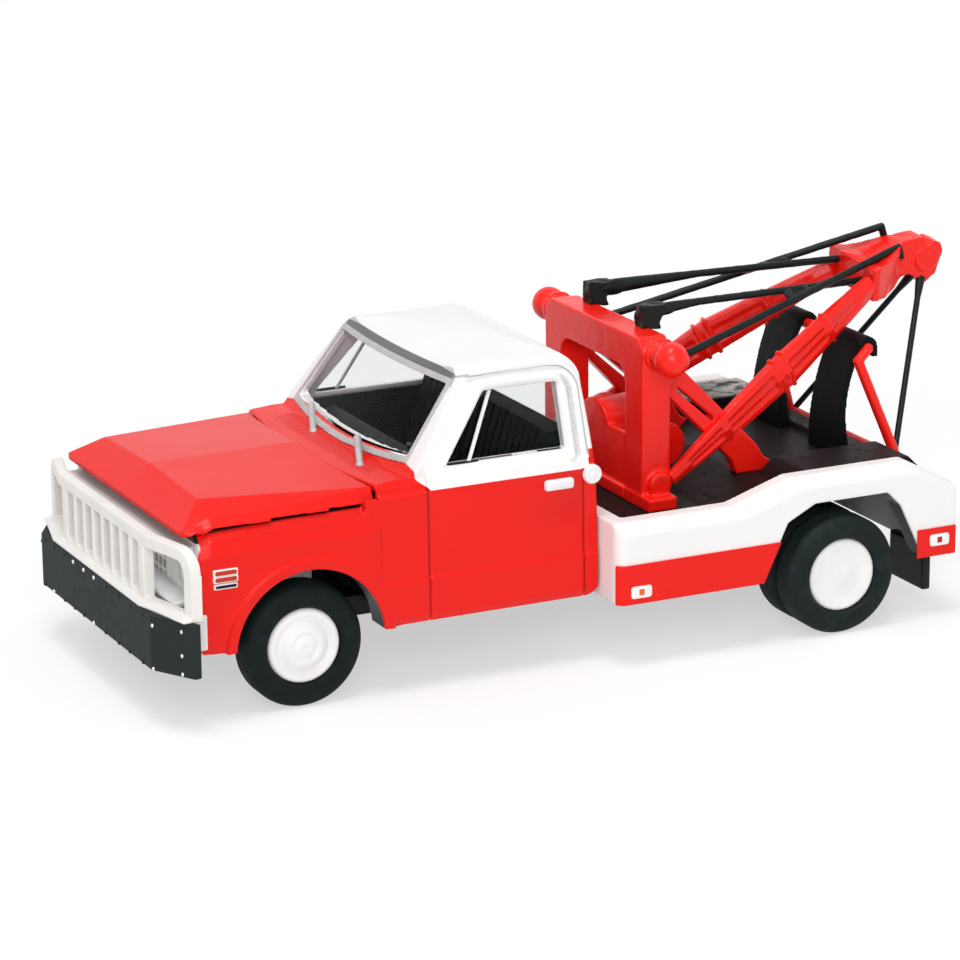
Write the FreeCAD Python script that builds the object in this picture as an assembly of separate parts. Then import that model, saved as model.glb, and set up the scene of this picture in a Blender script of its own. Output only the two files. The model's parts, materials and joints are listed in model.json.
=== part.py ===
import FreeCAD, Part
import math
import os

# Tow truck as a die-cast scale model: millimetres, X forward, Y to the truck's left, Z up.
# Places along the truck are measured from the front axle. At the end everything is moved so that
# the origin lies on the ground under the middle of the whole model.
V = FreeCAD.Vector
X_DIRECTION = V(1, 0, 0)
Y_DIRECTION = V(0, 1, 0)
Z_DIRECTION = V(0, 0, 1)

# Whole model
wheelbase = 52.8
front_reach = 14.2
rear_reach = 74.4
model_height = 33.5
overrun = 3.0
fit_clearance = 0.02
running_clearance = 0.05
quarter_share = 1 - math.sqrt(1 / 2)

# Wheels
tyre_radius = 5.7
tyre_width = 3.4
tyre_shoulder = 0.7
sidewall_share = 0.3
disc_radius = 3.5
disc_width = 2.2
disc_dish = 0.5
disc_rim_share = 0.84
disc_well_share = 0.7
disc_hub_share = 0.45
cap_radius = 1.0
cap_proud = 0.7
cap_top_share = 0.6
axle_radius = 0.6
axle_boss = 1.3
front_wheel_face = 15.16
rear_wheel_face = 19.4
dual_gap = 0.5
rear_axle_x = -wheelbase

# Body casting
nose_x = 9.9
body_half_width = 15.6
nose_narrowing = 0.4
door_lean = 0.3
belt_lean = 1.0
roof_edge_lean = 3.0
roof_shoulder_lean = 5.4
body_bottom = 6.3
sill_tuck = 0.4
crease_z = 10.5
crease_step = 0.15
shell_wall = 1.1
fender_front_z = 17.7
fender_rear_z = 17.95
fender_round = 1.2
nose_start_share = 0.4
firewall_x = -9.6
cab_rear_x = -29.0
cab_corner = 1.2
door_front_x = -12.1
door_rear_x = -27.6
door_top_z = 18.4
belt_z = 20.1
cowl_z = 19.3
cowl_rise = 0.3
cowl_gap = 0.2
cowl_shoulder_inset = 1.25
cowl_shoulder_drop = 1.0
header_z = 27.5
roof_edge_z = 26.5
roof_shoulder_z = 28.3
roof_corner_shares = (0.4, 0.7)
roof_z = 29.2
roof_front_x = -18.4
roof_front_z = 28.4
roof_rear_x = -28.6
roof_rear_round = 2.2
roof_rear_top_z = 28.5
pillar_kick_share = 0.7
seam_width = 0.2
seam_depth = 0.2
arch_radius = 7.15
arch_x = -0.4
arch_z = 5.75
arch_inner_half_width = 10.6
arch_lip_width = 1.0
arch_lip_proud = 0.18

# Cab windows
window_front_x = -13.7
window_front_top_x = -18.2
window_rear_x = -26.15
window_bottom_z = 20.3
window_top_z = 26.2
glass_thickness = 0.5
windshield_base_x = -11.75
windshield_base_z = 20.55
windshield_top_x = -16.95
windshield_bow = 1.25
windshield_lean = 3.5
windshield_top_lean = 4.3
windshield_bottom_z = 20.95
windshield_dip = 0.6
windshield_top_z = 26.9
rear_window_lean = 6.0
rear_window_bottom_z = 20.9
rear_window_top_z = 25.6
trim_width = 0.5
trim_proud = 0.15
vent_bottom_x = -16.3
vent_top_x = -19.3
vent_bar_width = 0.35

# Hood
hood_front_x = 11.1
hood_front_z = 17.0
hood_front_inset = 0.7
hood_corner = 1.3
hood_plateau_x = 8.4
hood_plateau_inset = 4.3
hood_plateau_z = 19.5
hood_crown_z = 19.9
hood_rear_x = -7.1
hood_rear_inset = 1.5
hood_rear_z = 19.2
hood_rear_crown_z = 20.05
hood_bow = 1.15
hood_side_z = 18.25
hood_side_front_z = 18.0
hood_wall = 0.9
hood_lip = 0.5
bay_inset = 3.0

# Front end
grille_inset = 1.8
grille_bottom_z = 10.7
grille_top_z = 16.0
grille_thickness = 0.5
grille_bar = 0.25
grille_pitch = 0.95
grille_shelf = 1.6
valance = 1.9
headlight_inset = 4.4
headlight_z = 12.9
headlight_radius = 1.55
headlight_bezel = 2.1
headlight_depth = 0.7
bumper_front_x = 12.0
bumper_bottom_z = 7.0
bumper_top_z = 10.3
bumper_proud = 0.1
bumper_bend_half_width = 12.6
bumper_end_x = 10.6
pad_thickness = 0.8
pad_bottom_z = 5.3
pad_top_z = 10.35
pad_bend_half_width = 13.8
pad_end_x = 11.8
pad_half_width = 18.0
guard_front_x = 13.2
guard_depth = 1.0
guard_rail = 1.2
guard_top_z = 16.8
guard_bend_half_width = 10.9
guard_end_x = 11.6
guard_half_width = 17.5
guard_bar = 0.6
guard_bar_count = 9
guard_bar_span = 18.6
guard_end_bar = 1.0
guard_corner = 2.3
guard_shelf = 0.8

# Interior and engine
interior_clearance = 0.3
seat_front_x = -20.4
seat_z = 14.2
seat_back_x = -25.2
seat_back_top_z = 21.6
seat_thickness = 2.2
rib_pitch = 1.3
rib_depth = 0.25
dash_rear_x = -15.4
dash_top_z = 19.2
dash_thickness = 2.6
wheel_ring_radius = 2.6
wheel_rim = 0.28
steering_x = -16.9
steering_inset = 9.4
steering_z = 18.4
steering_rake_deg = 35.0
engine_length = 11.5
engine_half_width = 4.6
engine_top_z = 15.2
engine_mid_x = 0.5
cleaner_radius = 3.1
cleaner_height = 1.3

# Small side pieces
handle_x = -25.1
handle_length = 3.0
handle_z = 17.3
handle_height = 1.0
handle_proud = 0.5
filler_x = -28.45
filler_z = 17.85
filler_radius = 0.9
badge_x = 7.6
badge_length = 2.3
badge_z = 13.27
badge_height = 1.8
badge_proud = 0.12
badge_sink = 0.6
wiper_near_y = 8.3
wiper_far_y = -3.9
wiper_near_x = -8.6
wiper_far_x = -9.4
wiper_run = 1.75
wiper_sweep = 4.4
wiper_rise = 1.15
wiper_width = 0.6

# Chassis
chassis_bottom_z = 4.3
chassis_half_width = 5.2
chassis_thickness = 1.9
chassis_front_x = 9.4
chassis_rear_x = -63.2

# Service bed
bed_front_x = -29.2
bed_rear_x = -65.2
bed_half_width = 19.0
bed_corner = 1.1
bed_bottom_z = 6.1
bed_rail_z = 13.7
bed_rail_drop = 1.0
bed_rail_inset = 1.0
bed_hump_front_x = -41.5
bed_hump_x = -47.6
bed_hump_rear_x = -60.1
bed_hump_z = 15.6
bed_tail_z = 12.9
bed_wall = 1.6
bed_floor = 0.8
deck_thickness = 0.6
deck_front_z = 12.0
deck_ramp_x = -41.5
deck_ramp_end_x = -47.5
deck_rear_x = -63.4
deck_rear_z = 13.7
box_front_x = -48.6
box_rear_x = -63.2
box_slope = 1.7
box_inner_y = 10.2
box_top_z = 15.4
bed_arch_front_x = -44.4
bed_arch_rear_x = -61.75
bed_arch_z = 13.0
bed_arch_slant = 2.6
bed_arch_corner = 2.9
skirt_proud = 0.15
skirt_top_z = 9.9
skirt_rear_top_z = 8.9
skirt_rear_x = -60.9
flap_x = -62.3
flap_thickness = 0.9
flap_bottom_z = 2.5
flap_width = 6.0
marker_length = 2.1
marker_height = 1.15
marker_proud = 0.15
marker_setback = 2.3
marker_front_share = 0.31
marker_rear_share = 0.58
marker_rear_inset = 1.9
tail_lamp_radius = 1.1

# Mast and winch
mast_front_x = -36.5
mast_depth = 3.0
mast_flare = 0.8
mast_flare_z = 22.8
post_inner_y = 6.45
post_outer_y = 9.9
foot_outer_y = 11.6
foot_height = 1.2
foot_step = 0.15
beam_top_z = 28.1
beam_bottom_z = 24.9
beam_chamfer = 1.1
haunch = 1.6
knob_x = -38.2
knob_z = 26.6
knob_radius = 1.65
knob_neck = 1.35
knob_reach = 2.45
knob_ridge = 0.3
collar_radius = 1.15
collar_z = 14.2
collar_reach = 0.7
winch_panel_z = 18.4
winch_panel = 0.6
winch_housing_z = 16.2
winch_rear_x = -41.0
barrel_radius = 3.1
barrel_z = 17.2
drum_radius = 1.5
drum_x = -40.9
drum_z = 16.7
flange_radius = 2.1
flange_thickness = 0.5
brace_y = 8.2
brace_thickness = 1.5
brace_width = 2.6
brace_slot = 0.5
brace_slot_shares = (0.14, 0.6)
brace_foot_x = -48.0
brace_foot_spread = 0.8
brace_top_z = 26.4

# Booms, head, stays and sling
boom_foot_x = -39.4
boom_foot_y = 10.1
boom_foot_z = 14.5
boom_collar_x = -53.4
boom_collar_y = 7.2
boom_collar_z = 22.8
boom_collar_share = 0.54
boom_end_y = 3.6
boom_end_drop = 4.6
boom_depth = 3.5
boom_thickness = 1.7
boom_shares = (
    (0.0, 0.36, 0.6), (0.1, 0.5, 0.75), (0.3, 0.8, 0.95),
    (0.54, 1.0, 1.0), (0.8, 0.78, 0.9), (1.0, 0.58, 0.8),
)
boom_rib_shares = (0.25, 0.5, 0.54, 0.76)
boom_body_share = 1.0
boom_rib_width = 0.35
boom_rib_grow = 1.14
head_length = 9.6
head_half_width = 4.3
head_neck_x = -69.8
head_neck_half_width = 1.3
head_depth = 5.0
head_drop = 1.0
head_lean_deg = 6.0
head_shares = (
    (0.0, 0.04), (0.0, 0.66), (0.16, 0.68), (0.28, 0.76), (0.49, 0.94), (0.69, 0.99), (0.76, 1.0),
    (0.82, 0.79), (0.885, 0.89), (0.96, 0.85), (1.0, 0.69), (0.965, 0.48), (0.93, 0.24), (0.79, 0.02),
    (0.71, 0.18), (0.6, 0.28), (0.49, 0.22), (0.38, 0.08), (0.22, 0.0),
)
pulley_inset = 1.9
pulley_drop = 3.2
pulley_radius = 1.3
pulley_half_width = 1.55
stay_radius = 0.36
stay_foot_x = -39.9
stay_foot_y = 8.5
stay_foot_z = 25.2
stay_bend_x = -69.1
stay_bend_y = 1.6
stay_bend_drops = (1.8, 0.36)
stay_bend_foot = 1.2
stay_tip_x = -65.3
stay_tip_y = 2.4
stay_tip_drops = (4.4, 3.3)
bracket_front_x = -38.6
bracket_inner_y = 4.5
bracket_width = 1.6
bracket_height = 2.1
bracket_depth = 1.3
web_shares = (0.62, 0.7, 0.78)
web_long_shares = (0.53, 0.6, 0.67)
cable_radius = 0.3
cable_top_y = 0.8
cable_top_drop = 5.3
sling_bar_radius = 0.5
sling_top_x = -61.7
sling_top_z = 24.0
sling_top_half_width = 8.6
sling_leg_x = -60.6
sling_leg_y = 8.4
sling_leg_z = 22.9
sling_low_x = -64.1
sling_low_z = 13.2
sling_low_half_width = 10.1
belt_inner_y = 2.8
belt_outer_y = 8.3
belt_thickness = 0.6
belt_foot_x = -59.3
belt_foot_spread = 0.8
belt_mid_x = -58.9
belt_mid_z = 18.5
belt_curl_z = 23.1


# Shape helpers

def face_of(points, place):
    """Flat face inside an outline of (u, v) points, where a third value marks an arc's middle."""
    spots = [place(point[0], point[1]) for point in points]
    count = len(points)
    edges = []
    index = 0
    while index < count:
        following = (index + 1) % count
        if len(points[following]) == 3:
            end = (index + 2) % count
            edges.append(Part.Arc(spots[index], spots[following], spots[end]).toShape())
            index += 2
        else:
            edges.append(Part.LineSegment(spots[index], spots[following]).toShape())
            index += 1
    return Part.Face(Part.Wire(edges))


def prism_x(points, low, high):
    """Solid with a (y, z) outline between two stations along X."""
    return face_of(points, lambda u, v: V(low, u, v)).extrude(V(high - low, 0, 0))


def prism_y(points, low, high):
    """Solid with an (x, z) outline between two places along Y."""
    return face_of(points, lambda u, v: V(u, low, v)).extrude(V(0, high - low, 0))


def prism_z(points, low, high):
    """Solid with an (x, y) outline between two heights."""
    return face_of(points, lambda u, v: V(u, v, low)).extrude(V(0, 0, high - low))


def block(x_low, x_high, y_low, y_high, z_low, z_high):
    """Box between two opposite corners."""
    return Part.makeBox(x_high - x_low, y_high - y_low, z_high - z_low, V(x_low, y_low, z_low))


def wide_block(x_low, x_high, half_width, z_low, z_high):
    """Box centred on the middle plane."""
    return block(x_low, x_high, -half_width, half_width, z_low, z_high)


def disc(radius, x, z, y_low, y_high):
    """Round solid along Y."""
    return Part.makeCylinder(radius, y_high - y_low, V(x, y_low, z), Y_DIRECTION)


def rod(start, end, radius):
    """Round bar between two points."""
    path = end - start
    return Part.makeCylinder(radius, path.Length, start, path)


def both_halves(half, crown=None):
    """Close a right-hand outline, bottom to top, with its mirror image."""
    middle = [crown] if crown else []
    other = [(-point[0],) + tuple(point[1:]) for point in reversed(half)]
    return half + middle + other


def loft(sections):
    """Ruled solid through closed polygons with equal point counts."""
    wires = [Part.makePolygon(points + [points[0]]) for points in sections]
    return Part.makeLoft(wires, True, True)


def mirrored(shape):
    """The same shape on the truck's other side."""
    return shape.mirror(V(0, 0, 0), Y_DIRECTION)


def pair(shape):
    """The shape on both sides, as separate solids."""
    return Part.makeCompound([shape, mirrored(shape)])


def joined(shapes):
    """One solid from shapes that meet."""
    whole = shapes[0].multiFuse(shapes[1:]) if len(shapes) > 1 else shapes[0]
    return whole.removeSplitter()


def sheet_bend(path, thickness, z_low, z_high):
    """Upright sheet along an (x, y) path, its thickness laid towards the truck."""
    inner = [(x - thickness, y) for x, y in reversed(path)]
    return prism_z(path + inner, z_low, z_high)


def between(low, high, share):
    """The value that lies the given share of the way from low to high."""
    return low + (high - low) * share


# Body casting

def windshield_x(z):
    """Where the windshield's plane lies at a height, on the line of its corners."""
    share = (z - windshield_base_z) / (header_z - windshield_base_z)
    return between(windshield_base_x, windshield_top_x, share)


def windshield_band(ahead, behind):
    """Bowed slab along the windshield between two distances ahead of its outer face."""
    low_z = cowl_z + cowl_rise
    high_z = roof_z + overrun
    edge = body_half_width
    x = windshield_x(low_z)
    outline = [
        (x + behind, -edge), (x + ahead, -edge), (x + ahead + windshield_bow, 0.0, "arc"),
        (x + ahead, edge), (x + behind, edge), (x + behind + windshield_bow, 0.0, "arc"),
    ]
    face = face_of(outline, lambda u, v: V(u, v, low_z))
    return face.extrude(V(windshield_x(high_z) - x, 0, high_z - low_z))


def cab_side_profile(inset):
    """Cab outline on the middle plane seen from the side, moved inwards by inset."""
    cowl_x = hood_rear_x + hood_bow - inset
    turn = cab_corner * quarter_share
    roof_rear = roof_rear_x + inset
    return [
        (cowl_x, body_bottom + inset),
        (cowl_x, cowl_z - inset),
        (windshield_x(cowl_z) + windshield_bow - inset, cowl_z + cowl_rise - inset),
        (windshield_top_x + windshield_bow - inset, header_z),
        (roof_front_x + windshield_bow - inset, roof_front_z - inset),
        (between(roof_front_x, roof_rear_x, 1 / 2), roof_z - inset, "arc"),
        (roof_rear_x + roof_rear_round, roof_rear_top_z - inset),
        (roof_rear + roof_rear_round * quarter_share,
         between(roof_rear_top_z - inset, roof_edge_z, quarter_share), "arc"),
        (roof_rear, roof_edge_z),
        (between(roof_rear_x, cab_rear_x, pillar_kick_share) + inset, belt_z),
        (cab_rear_x + inset, crease_z),
        (cab_rear_x + inset, body_bottom + cab_corner + inset),
        (cab_rear_x + turn + inset, body_bottom + turn + inset, "arc"),
        (cab_rear_x + cab_corner + inset, body_bottom + inset),
    ]


def cab_cross_section(inset):
    """Cab outline seen from the front, moved inwards by inset."""
    edge_y = body_half_width - roof_edge_lean - inset
    edge_z = roof_edge_z - inset / 2
    shoulder_y = body_half_width - roof_shoulder_lean - inset / 2
    shoulder_z = roof_shoulder_z - inset
    half = [
        (body_half_width - sill_tuck - inset, body_bottom + inset),
        (body_half_width - inset, body_bottom + 2 * sill_tuck + inset),
        (body_half_width - inset, crease_z - crease_step),
        (body_half_width - crease_step - inset, crease_z + crease_step),
        (body_half_width - door_lean - inset, door_top_z),
        (body_half_width - belt_lean - inset, belt_z),
        (edge_y, edge_z),
        (between(edge_y, shoulder_y, roof_corner_shares[0]),
         between(edge_z, shoulder_z, roof_corner_shares[1]), "arc"),
        (shoulder_y, shoulder_z),
    ]
    return both_halves(half, (0.0, roof_z - inset, "arc"))


def front_clip():
    """Fenders and nose: sections from the cowl to the nose, narrowing forward."""
    nose_half_width = body_half_width - nose_narrowing
    stations = (
        (hood_rear_x - cowl_gap, body_half_width, fender_rear_z),
        (between(hood_rear_x, nose_x, 1 / 2), body_half_width, between(fender_rear_z, fender_front_z, 1 / 2)),
        (nose_x - fender_round, between(body_half_width, nose_half_width, nose_start_share), fender_front_z),
        (nose_x, nose_half_width, fender_front_z - sill_tuck),
    )
    sections = []
    for x, half_width, top_z in stations:
        half = [
            (half_width - sill_tuck, body_bottom),
            (half_width, body_bottom + 2 * sill_tuck),
            (half_width, top_z - 2 * fender_round),
            (half_width - fender_round / 3, top_z - fender_round),
            (half_width - fender_round, top_z - fender_round / 4),
            (half_width - 2 * fender_round, top_z),
        ]
        sections.append([V(x, y, z) for y, z in both_halves(half)])
    return loft(sections)


def windshield_outline(grow):
    """Windshield opening as a (y, z) outline, made larger by grow; its lower edge dips."""
    low = (body_half_width - windshield_lean + grow, windshield_bottom_z - grow)
    high = (body_half_width - windshield_top_lean + grow, windshield_top_z + grow)
    return [
        (low[0], low[1]), (high[0], high[1]), (-high[0], high[1]), (-low[0], low[1]),
        (0.0, windshield_bottom_z - windshield_dip - grow, "arc"),
    ]


def side_window_outline(grow):
    """Side window opening as an (x, z) outline, made larger by grow."""
    return [
        (window_front_x + 2 * grow, window_bottom_z - grow),
        (window_front_top_x + grow, window_top_z + grow),
        (window_rear_x - grow, window_top_z + grow),
        (window_rear_x - grow, window_bottom_z - grow),
    ]


def rear_window_outline(grow):
    """Rear window opening as a (y, z) outline, made larger by grow."""
    half_width = body_half_width - rear_window_lean + grow
    bottom = rear_window_bottom_z - grow
    top = rear_window_top_z + grow
    corner = fender_round + grow
    half = [(half_width - corner, bottom), (half_width, bottom + corner),
            (half_width, top - corner), (half_width - corner, top)]
    return both_halves(half)


def cowl_cutter():
    """What is cleared away ahead of the cowl's bowed front edge, above the fenders."""
    edge = body_half_width + overrun
    corner = body_half_width - hood_rear_inset
    x = hood_rear_x - cowl_gap
    front = nose_x + overrun
    return prism_z([
        (front, -edge), (front, edge), (x, edge), (x, corner),
        (x + hood_bow, 0.0, "arc"), (x, -corner), (x, -edge),
    ], fender_rear_z, roof_z)


def cowl_shoulder_cutter():
    """Step between the cowl's side and the fender's top, ahead of the left door."""
    edge = body_half_width + overrun
    inner = body_half_width - cowl_shoulder_inset
    low = cowl_z - cowl_shoulder_drop
    return prism_x([
        (inner, cowl_z + overrun), (inner, cowl_z), (inner + sill_tuck, cowl_z - sill_tuck),
        (inner + sill_tuck, low + seam_depth), (body_half_width - door_lean - seam_depth, low),
        (edge, low), (edge, cowl_z + overrun),
    ], door_front_x, front_reach)


def make_body():
    """Fenders, cowl, cab and roof as one hollow casting."""
    outer = prism_x(cab_cross_section(0.0), cab_rear_x - overrun, 0.0)
    outer = outer.common(prism_y(cab_side_profile(0.0), -body_half_width, body_half_width))
    outer = outer.cut(windshield_band(2 * overrun, 0.0)).cut(cowl_cutter())
    shoulder = cowl_shoulder_cutter()
    body = joined([outer.cut(shoulder).cut(mirrored(shoulder)), front_clip()])
    lip = disc(arch_radius + arch_lip_width, arch_x, arch_z, body_half_width - arch_lip_width,
               body_half_width + arch_lip_proud)
    lip = lip.common(block(arch_x - wheelbase, nose_x - arch_lip_width, 0, body_half_width + overrun,
                           body_bottom, fender_front_z))
    body = joined([body, lip, mirrored(lip)])
    inner = prism_x(cab_cross_section(shell_wall), cab_rear_x, firewall_x - shell_wall)
    room = cab_side_profile(shell_wall)
    room = inner.common(prism_y(room, -body_half_width, body_half_width))
    body = body.cut(room.cut(windshield_band(2 * overrun, -shell_wall)))
    body = body.cut(wide_block(cab_rear_x + shell_wall, windshield_base_x, chassis_half_width * 2,
                               body_bottom - overrun, body_bottom + 2 * shell_wall))
    bay = body_half_width - bay_inset
    body = body.cut(wide_block(firewall_x, nose_x - shell_wall, bay, body_bottom - overrun,
                               fender_front_z - hood_wall))
    body = body.cut(wide_block(hood_rear_x + shell_wall, nose_x - shell_wall, bay,
                               body_bottom - overrun, fender_rear_z))
    body = body.cut(wide_block(nose_x - 2 * shell_wall, nose_x + overrun, body_half_width - grille_inset,
                               grille_bottom_z, grille_top_z))
    for side in (1, -1):
        far = side * (body_half_width + overrun)
        near = side * arch_inner_half_width
        body = body.cut(disc(arch_radius, arch_x, arch_z, min(near, far), max(near, far)))
    body = body.cut(prism_x(windshield_outline(0.0), roof_front_x - shell_wall, hood_rear_x))
    body = body.cut(prism_y(side_window_outline(0.0), -body_half_width, body_half_width))
    body = body.cut(prism_x(rear_window_outline(0.0), cab_rear_x - overrun, roof_rear_x + 3 * shell_wall))
    for x in (door_front_x, door_rear_x):
        seam = block(x - seam_width / 2, x + seam_width / 2, body_half_width - seam_depth,
                     body_half_width + overrun, body_bottom + sill_tuck, door_top_z)
        body = body.cut(seam).cut(mirrored(seam))
    return body


# Hood

def hood_sections(inset):
    """Hood sections, rear edge to front lip; inset makes the hollow below the skin."""
    rear_half_width = body_half_width - hood_rear_inset
    front_half_width = body_half_width - hood_front_inset
    rear = [(rear_half_width + hood_lip - inset, hood_side_z),
            (rear_half_width - inset, hood_rear_z - inset)]
    middle = [(front_half_width - inset, hood_side_front_z),
              (body_half_width - hood_plateau_inset - inset, hood_plateau_z - inset)]
    front = [(front_half_width - inset, hood_front_z),
             (front_half_width - hood_lip - inset, hood_front_z + hood_lip - inset / 4)]
    levels = (
        (hood_rear_x + inset, rear, hood_rear_crown_z - inset),
        (hood_plateau_x - inset / 2, middle, hood_crown_z - inset),
        (hood_front_x - inset, front, hood_front_z + hood_lip - inset / 4),
    )
    sections = []
    for x, half, crown_z in levels:
        sections.append([V(x, y, z) for y, z in both_halves(half, (0.0, crown_z))])
    return loft(sections)


def hood_plan(inset):
    """Hood seen from above: a bowed rear edge and rounded front corners."""
    edge = body_half_width - hood_front_inset - inset
    corner = body_half_width - hood_rear_inset
    rear = hood_rear_x + inset
    front = hood_front_x - inset
    turn = hood_corner * quarter_share
    return prism_z([
        (rear, -corner), (rear, -edge), (front - hood_corner, -edge), (front - turn, -edge + turn, "arc"),
        (front, -edge + hood_corner), (front, edge - hood_corner), (front - turn, edge - turn, "arc"),
        (front - hood_corner, edge), (rear, edge), (rear, corner), (rear + hood_bow, 0.0, "arc"),
    ], body_bottom, roof_z)


def make_hood():
    """Opening hood: a thin skin with a raised middle."""
    skin = hood_sections(0.0).common(hood_plan(0.0))
    hollow = hood_sections(hood_wall)
    hollow.translate(V(0, 0, -fit_clearance))
    return skin.cut(hollow.common(hood_plan(hood_wall)))


# Glass, trim and interior

def make_windshield():
    """Clear windshield set in its opening."""
    opening = prism_x(windshield_outline(-fit_clearance), roof_front_x - shell_wall, hood_rear_x)
    return windshield_band(-glass_thickness / 2, -3 * glass_thickness / 2).common(opening)


def make_windshield_trim():
    """Silver surround laid round the windshield opening."""
    outer = prism_x(windshield_outline(trim_width), roof_front_x - shell_wall, hood_rear_x)
    inner = prism_x(windshield_outline(0.0), roof_front_x - overrun, hood_rear_x + overrun)
    return windshield_band(trim_proud, 0.0).common(outer).cut(inner)


def side_slab(depth, thickness):
    """Slab that follows the slope of the side windows, sunk by depth."""
    belt_y = body_half_width - belt_lean - depth
    edge_y = body_half_width - roof_edge_lean - depth
    outline = [(belt_y, belt_z), (edge_y, roof_edge_z), (edge_y - thickness, roof_edge_z),
               (belt_y - thickness, belt_z)]
    return prism_x(outline, cab_rear_x, windshield_base_x)


def make_side_windows():
    """Clear panes in both doors."""
    opening = prism_y(side_window_outline(-fit_clearance), 0, body_half_width)
    return pair(side_slab(glass_thickness / 2, glass_thickness).common(opening))


def make_vent_bars():
    """Silver bars between the vent panes and the door windows."""
    bar = prism_y([
        (vent_bottom_x, window_bottom_z + fit_clearance),
        (vent_top_x, window_top_z - fit_clearance),
        (vent_top_x - vent_bar_width, window_top_z - fit_clearance),
        (vent_bottom_x - vent_bar_width, window_bottom_z + fit_clearance),
    ], 0, body_half_width)
    return pair(side_slab(0.0, glass_thickness / 2).common(bar))


def make_rear_window():
    """Clear pane in the back of the cab."""
    x = max(roof_rear_x, cab_rear_x) + glass_thickness / 2
    return prism_x(rear_window_outline(-fit_clearance), x, x + glass_thickness)


def interior_half_width():
    """Half the width of the pieces that fill the cab from side to side."""
    return body_half_width - door_lean - shell_wall - interior_clearance - belt_lean


def make_seat():
    """Black bench seat with a ribbed back on the cab floor."""
    rear = cab_rear_x + 2 * shell_wall
    half_width = interior_half_width()
    seat = prism_y([
        (seat_front_x, body_bottom + shell_wall), (seat_front_x, seat_z),
        (seat_back_x + seat_thickness, seat_z), (seat_back_x, seat_back_top_z),
        (seat_back_x - seat_thickness, seat_back_top_z), (rear, seat_z), (rear, body_bottom + shell_wall),
    ], -half_width, half_width)
    count = int(2 * half_width / rib_pitch) - 1
    for index in range(count):
        y = (index - (count - 1) / 2) * rib_pitch
        groove = prism_y([
            (seat_back_x + seat_thickness + rib_depth, seat_z + rib_depth),
            (seat_back_x + rib_depth, seat_back_top_z + rib_depth),
            (seat_back_x - rib_depth, seat_back_top_z + rib_depth),
            (seat_back_x + seat_thickness - rib_depth, seat_z + rib_depth),
        ], y - rib_depth / 2, y + rib_depth / 2)
        seat = seat.cut(groove)
    return seat


def make_dashboard():
    """Black dashboard on the inside of the firewall."""
    front = firewall_x - 2 * shell_wall - fit_clearance
    under_cowl = cowl_z - shell_wall - fit_clearance
    half_width = interior_half_width()
    return prism_y([
        (front, dash_top_z - dash_thickness), (front, under_cowl),
        (windshield_base_x - shell_wall, under_cowl),
        (dash_rear_x, dash_top_z), (dash_rear_x, dash_top_z - dash_thickness),
    ], -half_width, half_width)


def make_steering_wheel():
    """Steering wheel with two spokes and the column into the dashboard."""
    tilt = math.radians(steering_rake_deg)
    axis = V(-math.sin(tilt), 0, math.cos(tilt))
    centre = V(steering_x, body_half_width - steering_inset, steering_z)
    ring = Part.makeTorus(wheel_ring_radius, wheel_rim, centre, axis)
    reach = Y_DIRECTION * wheel_ring_radius
    across = rod(centre - reach, centre + reach, wheel_rim)
    column = rod(centre, centre - axis * dash_thickness * 2, wheel_rim * 2)
    return joined([ring, across, column])


def make_engine():
    """Plain engine block with its round air cleaner, above the front axle."""
    front = engine_mid_x + engine_length / 2
    rear = engine_mid_x - engine_length / 2
    bottom = tyre_radius + axle_radius + running_clearance
    engine = wide_block(rear, front, engine_half_width, bottom, engine_top_z)
    cleaner = Part.makeCylinder(cleaner_radius, cleaner_height, V(engine_mid_x, 0, engine_top_z), Z_DIRECTION)
    return joined([engine, cleaner])


# Front end

def make_grille_backing():
    """Dark plate behind the grille."""
    x = nose_x - shell_wall
    return wide_block(x - grille_thickness, x, body_half_width - grille_inset - fit_clearance,
                      grille_bottom_z + fit_clearance, grille_top_z - fit_clearance)


def headlight_hole(radius, x_low, x_high):
    """Round bar along X through the left headlight's place."""
    place = V(x_low, body_half_width - headlight_inset - fit_clearance, headlight_z)
    return Part.makeCylinder(radius, x_high - x_low, place, X_DIRECTION)


def make_grille():
    """Silver grille grid with its frame and headlight surrounds."""
    x = nose_x - shell_wall
    front = x + 2 * grille_thickness
    half_width = body_half_width - grille_inset - fit_clearance
    bottom = grille_bottom_z + fit_clearance
    top = grille_top_z - fit_clearance
    frame = wide_block(x, front, half_width, bottom, top)
    frame = frame.cut(wide_block(x - overrun, front + overrun, half_width - 2 * grille_bar,
                                 bottom + 2 * grille_bar, top - 2 * grille_bar))
    parts = [frame]
    inner = body_half_width - headlight_inset - headlight_bezel - headlight_radius
    rows = int((top - bottom) / grille_pitch)
    for index in range(1, rows):
        z = bottom + (top - bottom) * index / rows
        parts.append(wide_block(x, front - grille_bar, inner, z - grille_bar / 2, z + grille_bar / 2))
    columns = int(2 * inner / grille_pitch)
    for index in range(1, columns):
        y = -inner + 2 * inner * index / columns
        parts.append(block(x, front - grille_bar, y - grille_bar / 2, y + grille_bar / 2,
                           bottom + grille_bar, top - grille_bar))
    surround = block(x, front, inner - grille_bar, half_width - grille_bar, bottom, top)
    surround = surround.cut(headlight_hole(headlight_radius + fit_clearance, x - overrun, front + overrun))
    for reach, low_z in ((grille_shelf, top - 2 * grille_bar), (valance, bottom)):
        parts.append(wide_block(front - grille_bar, nose_x + reach, half_width,
                                low_z, low_z + 2 * grille_bar))
    return joined(parts + [surround, mirrored(surround)])


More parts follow.
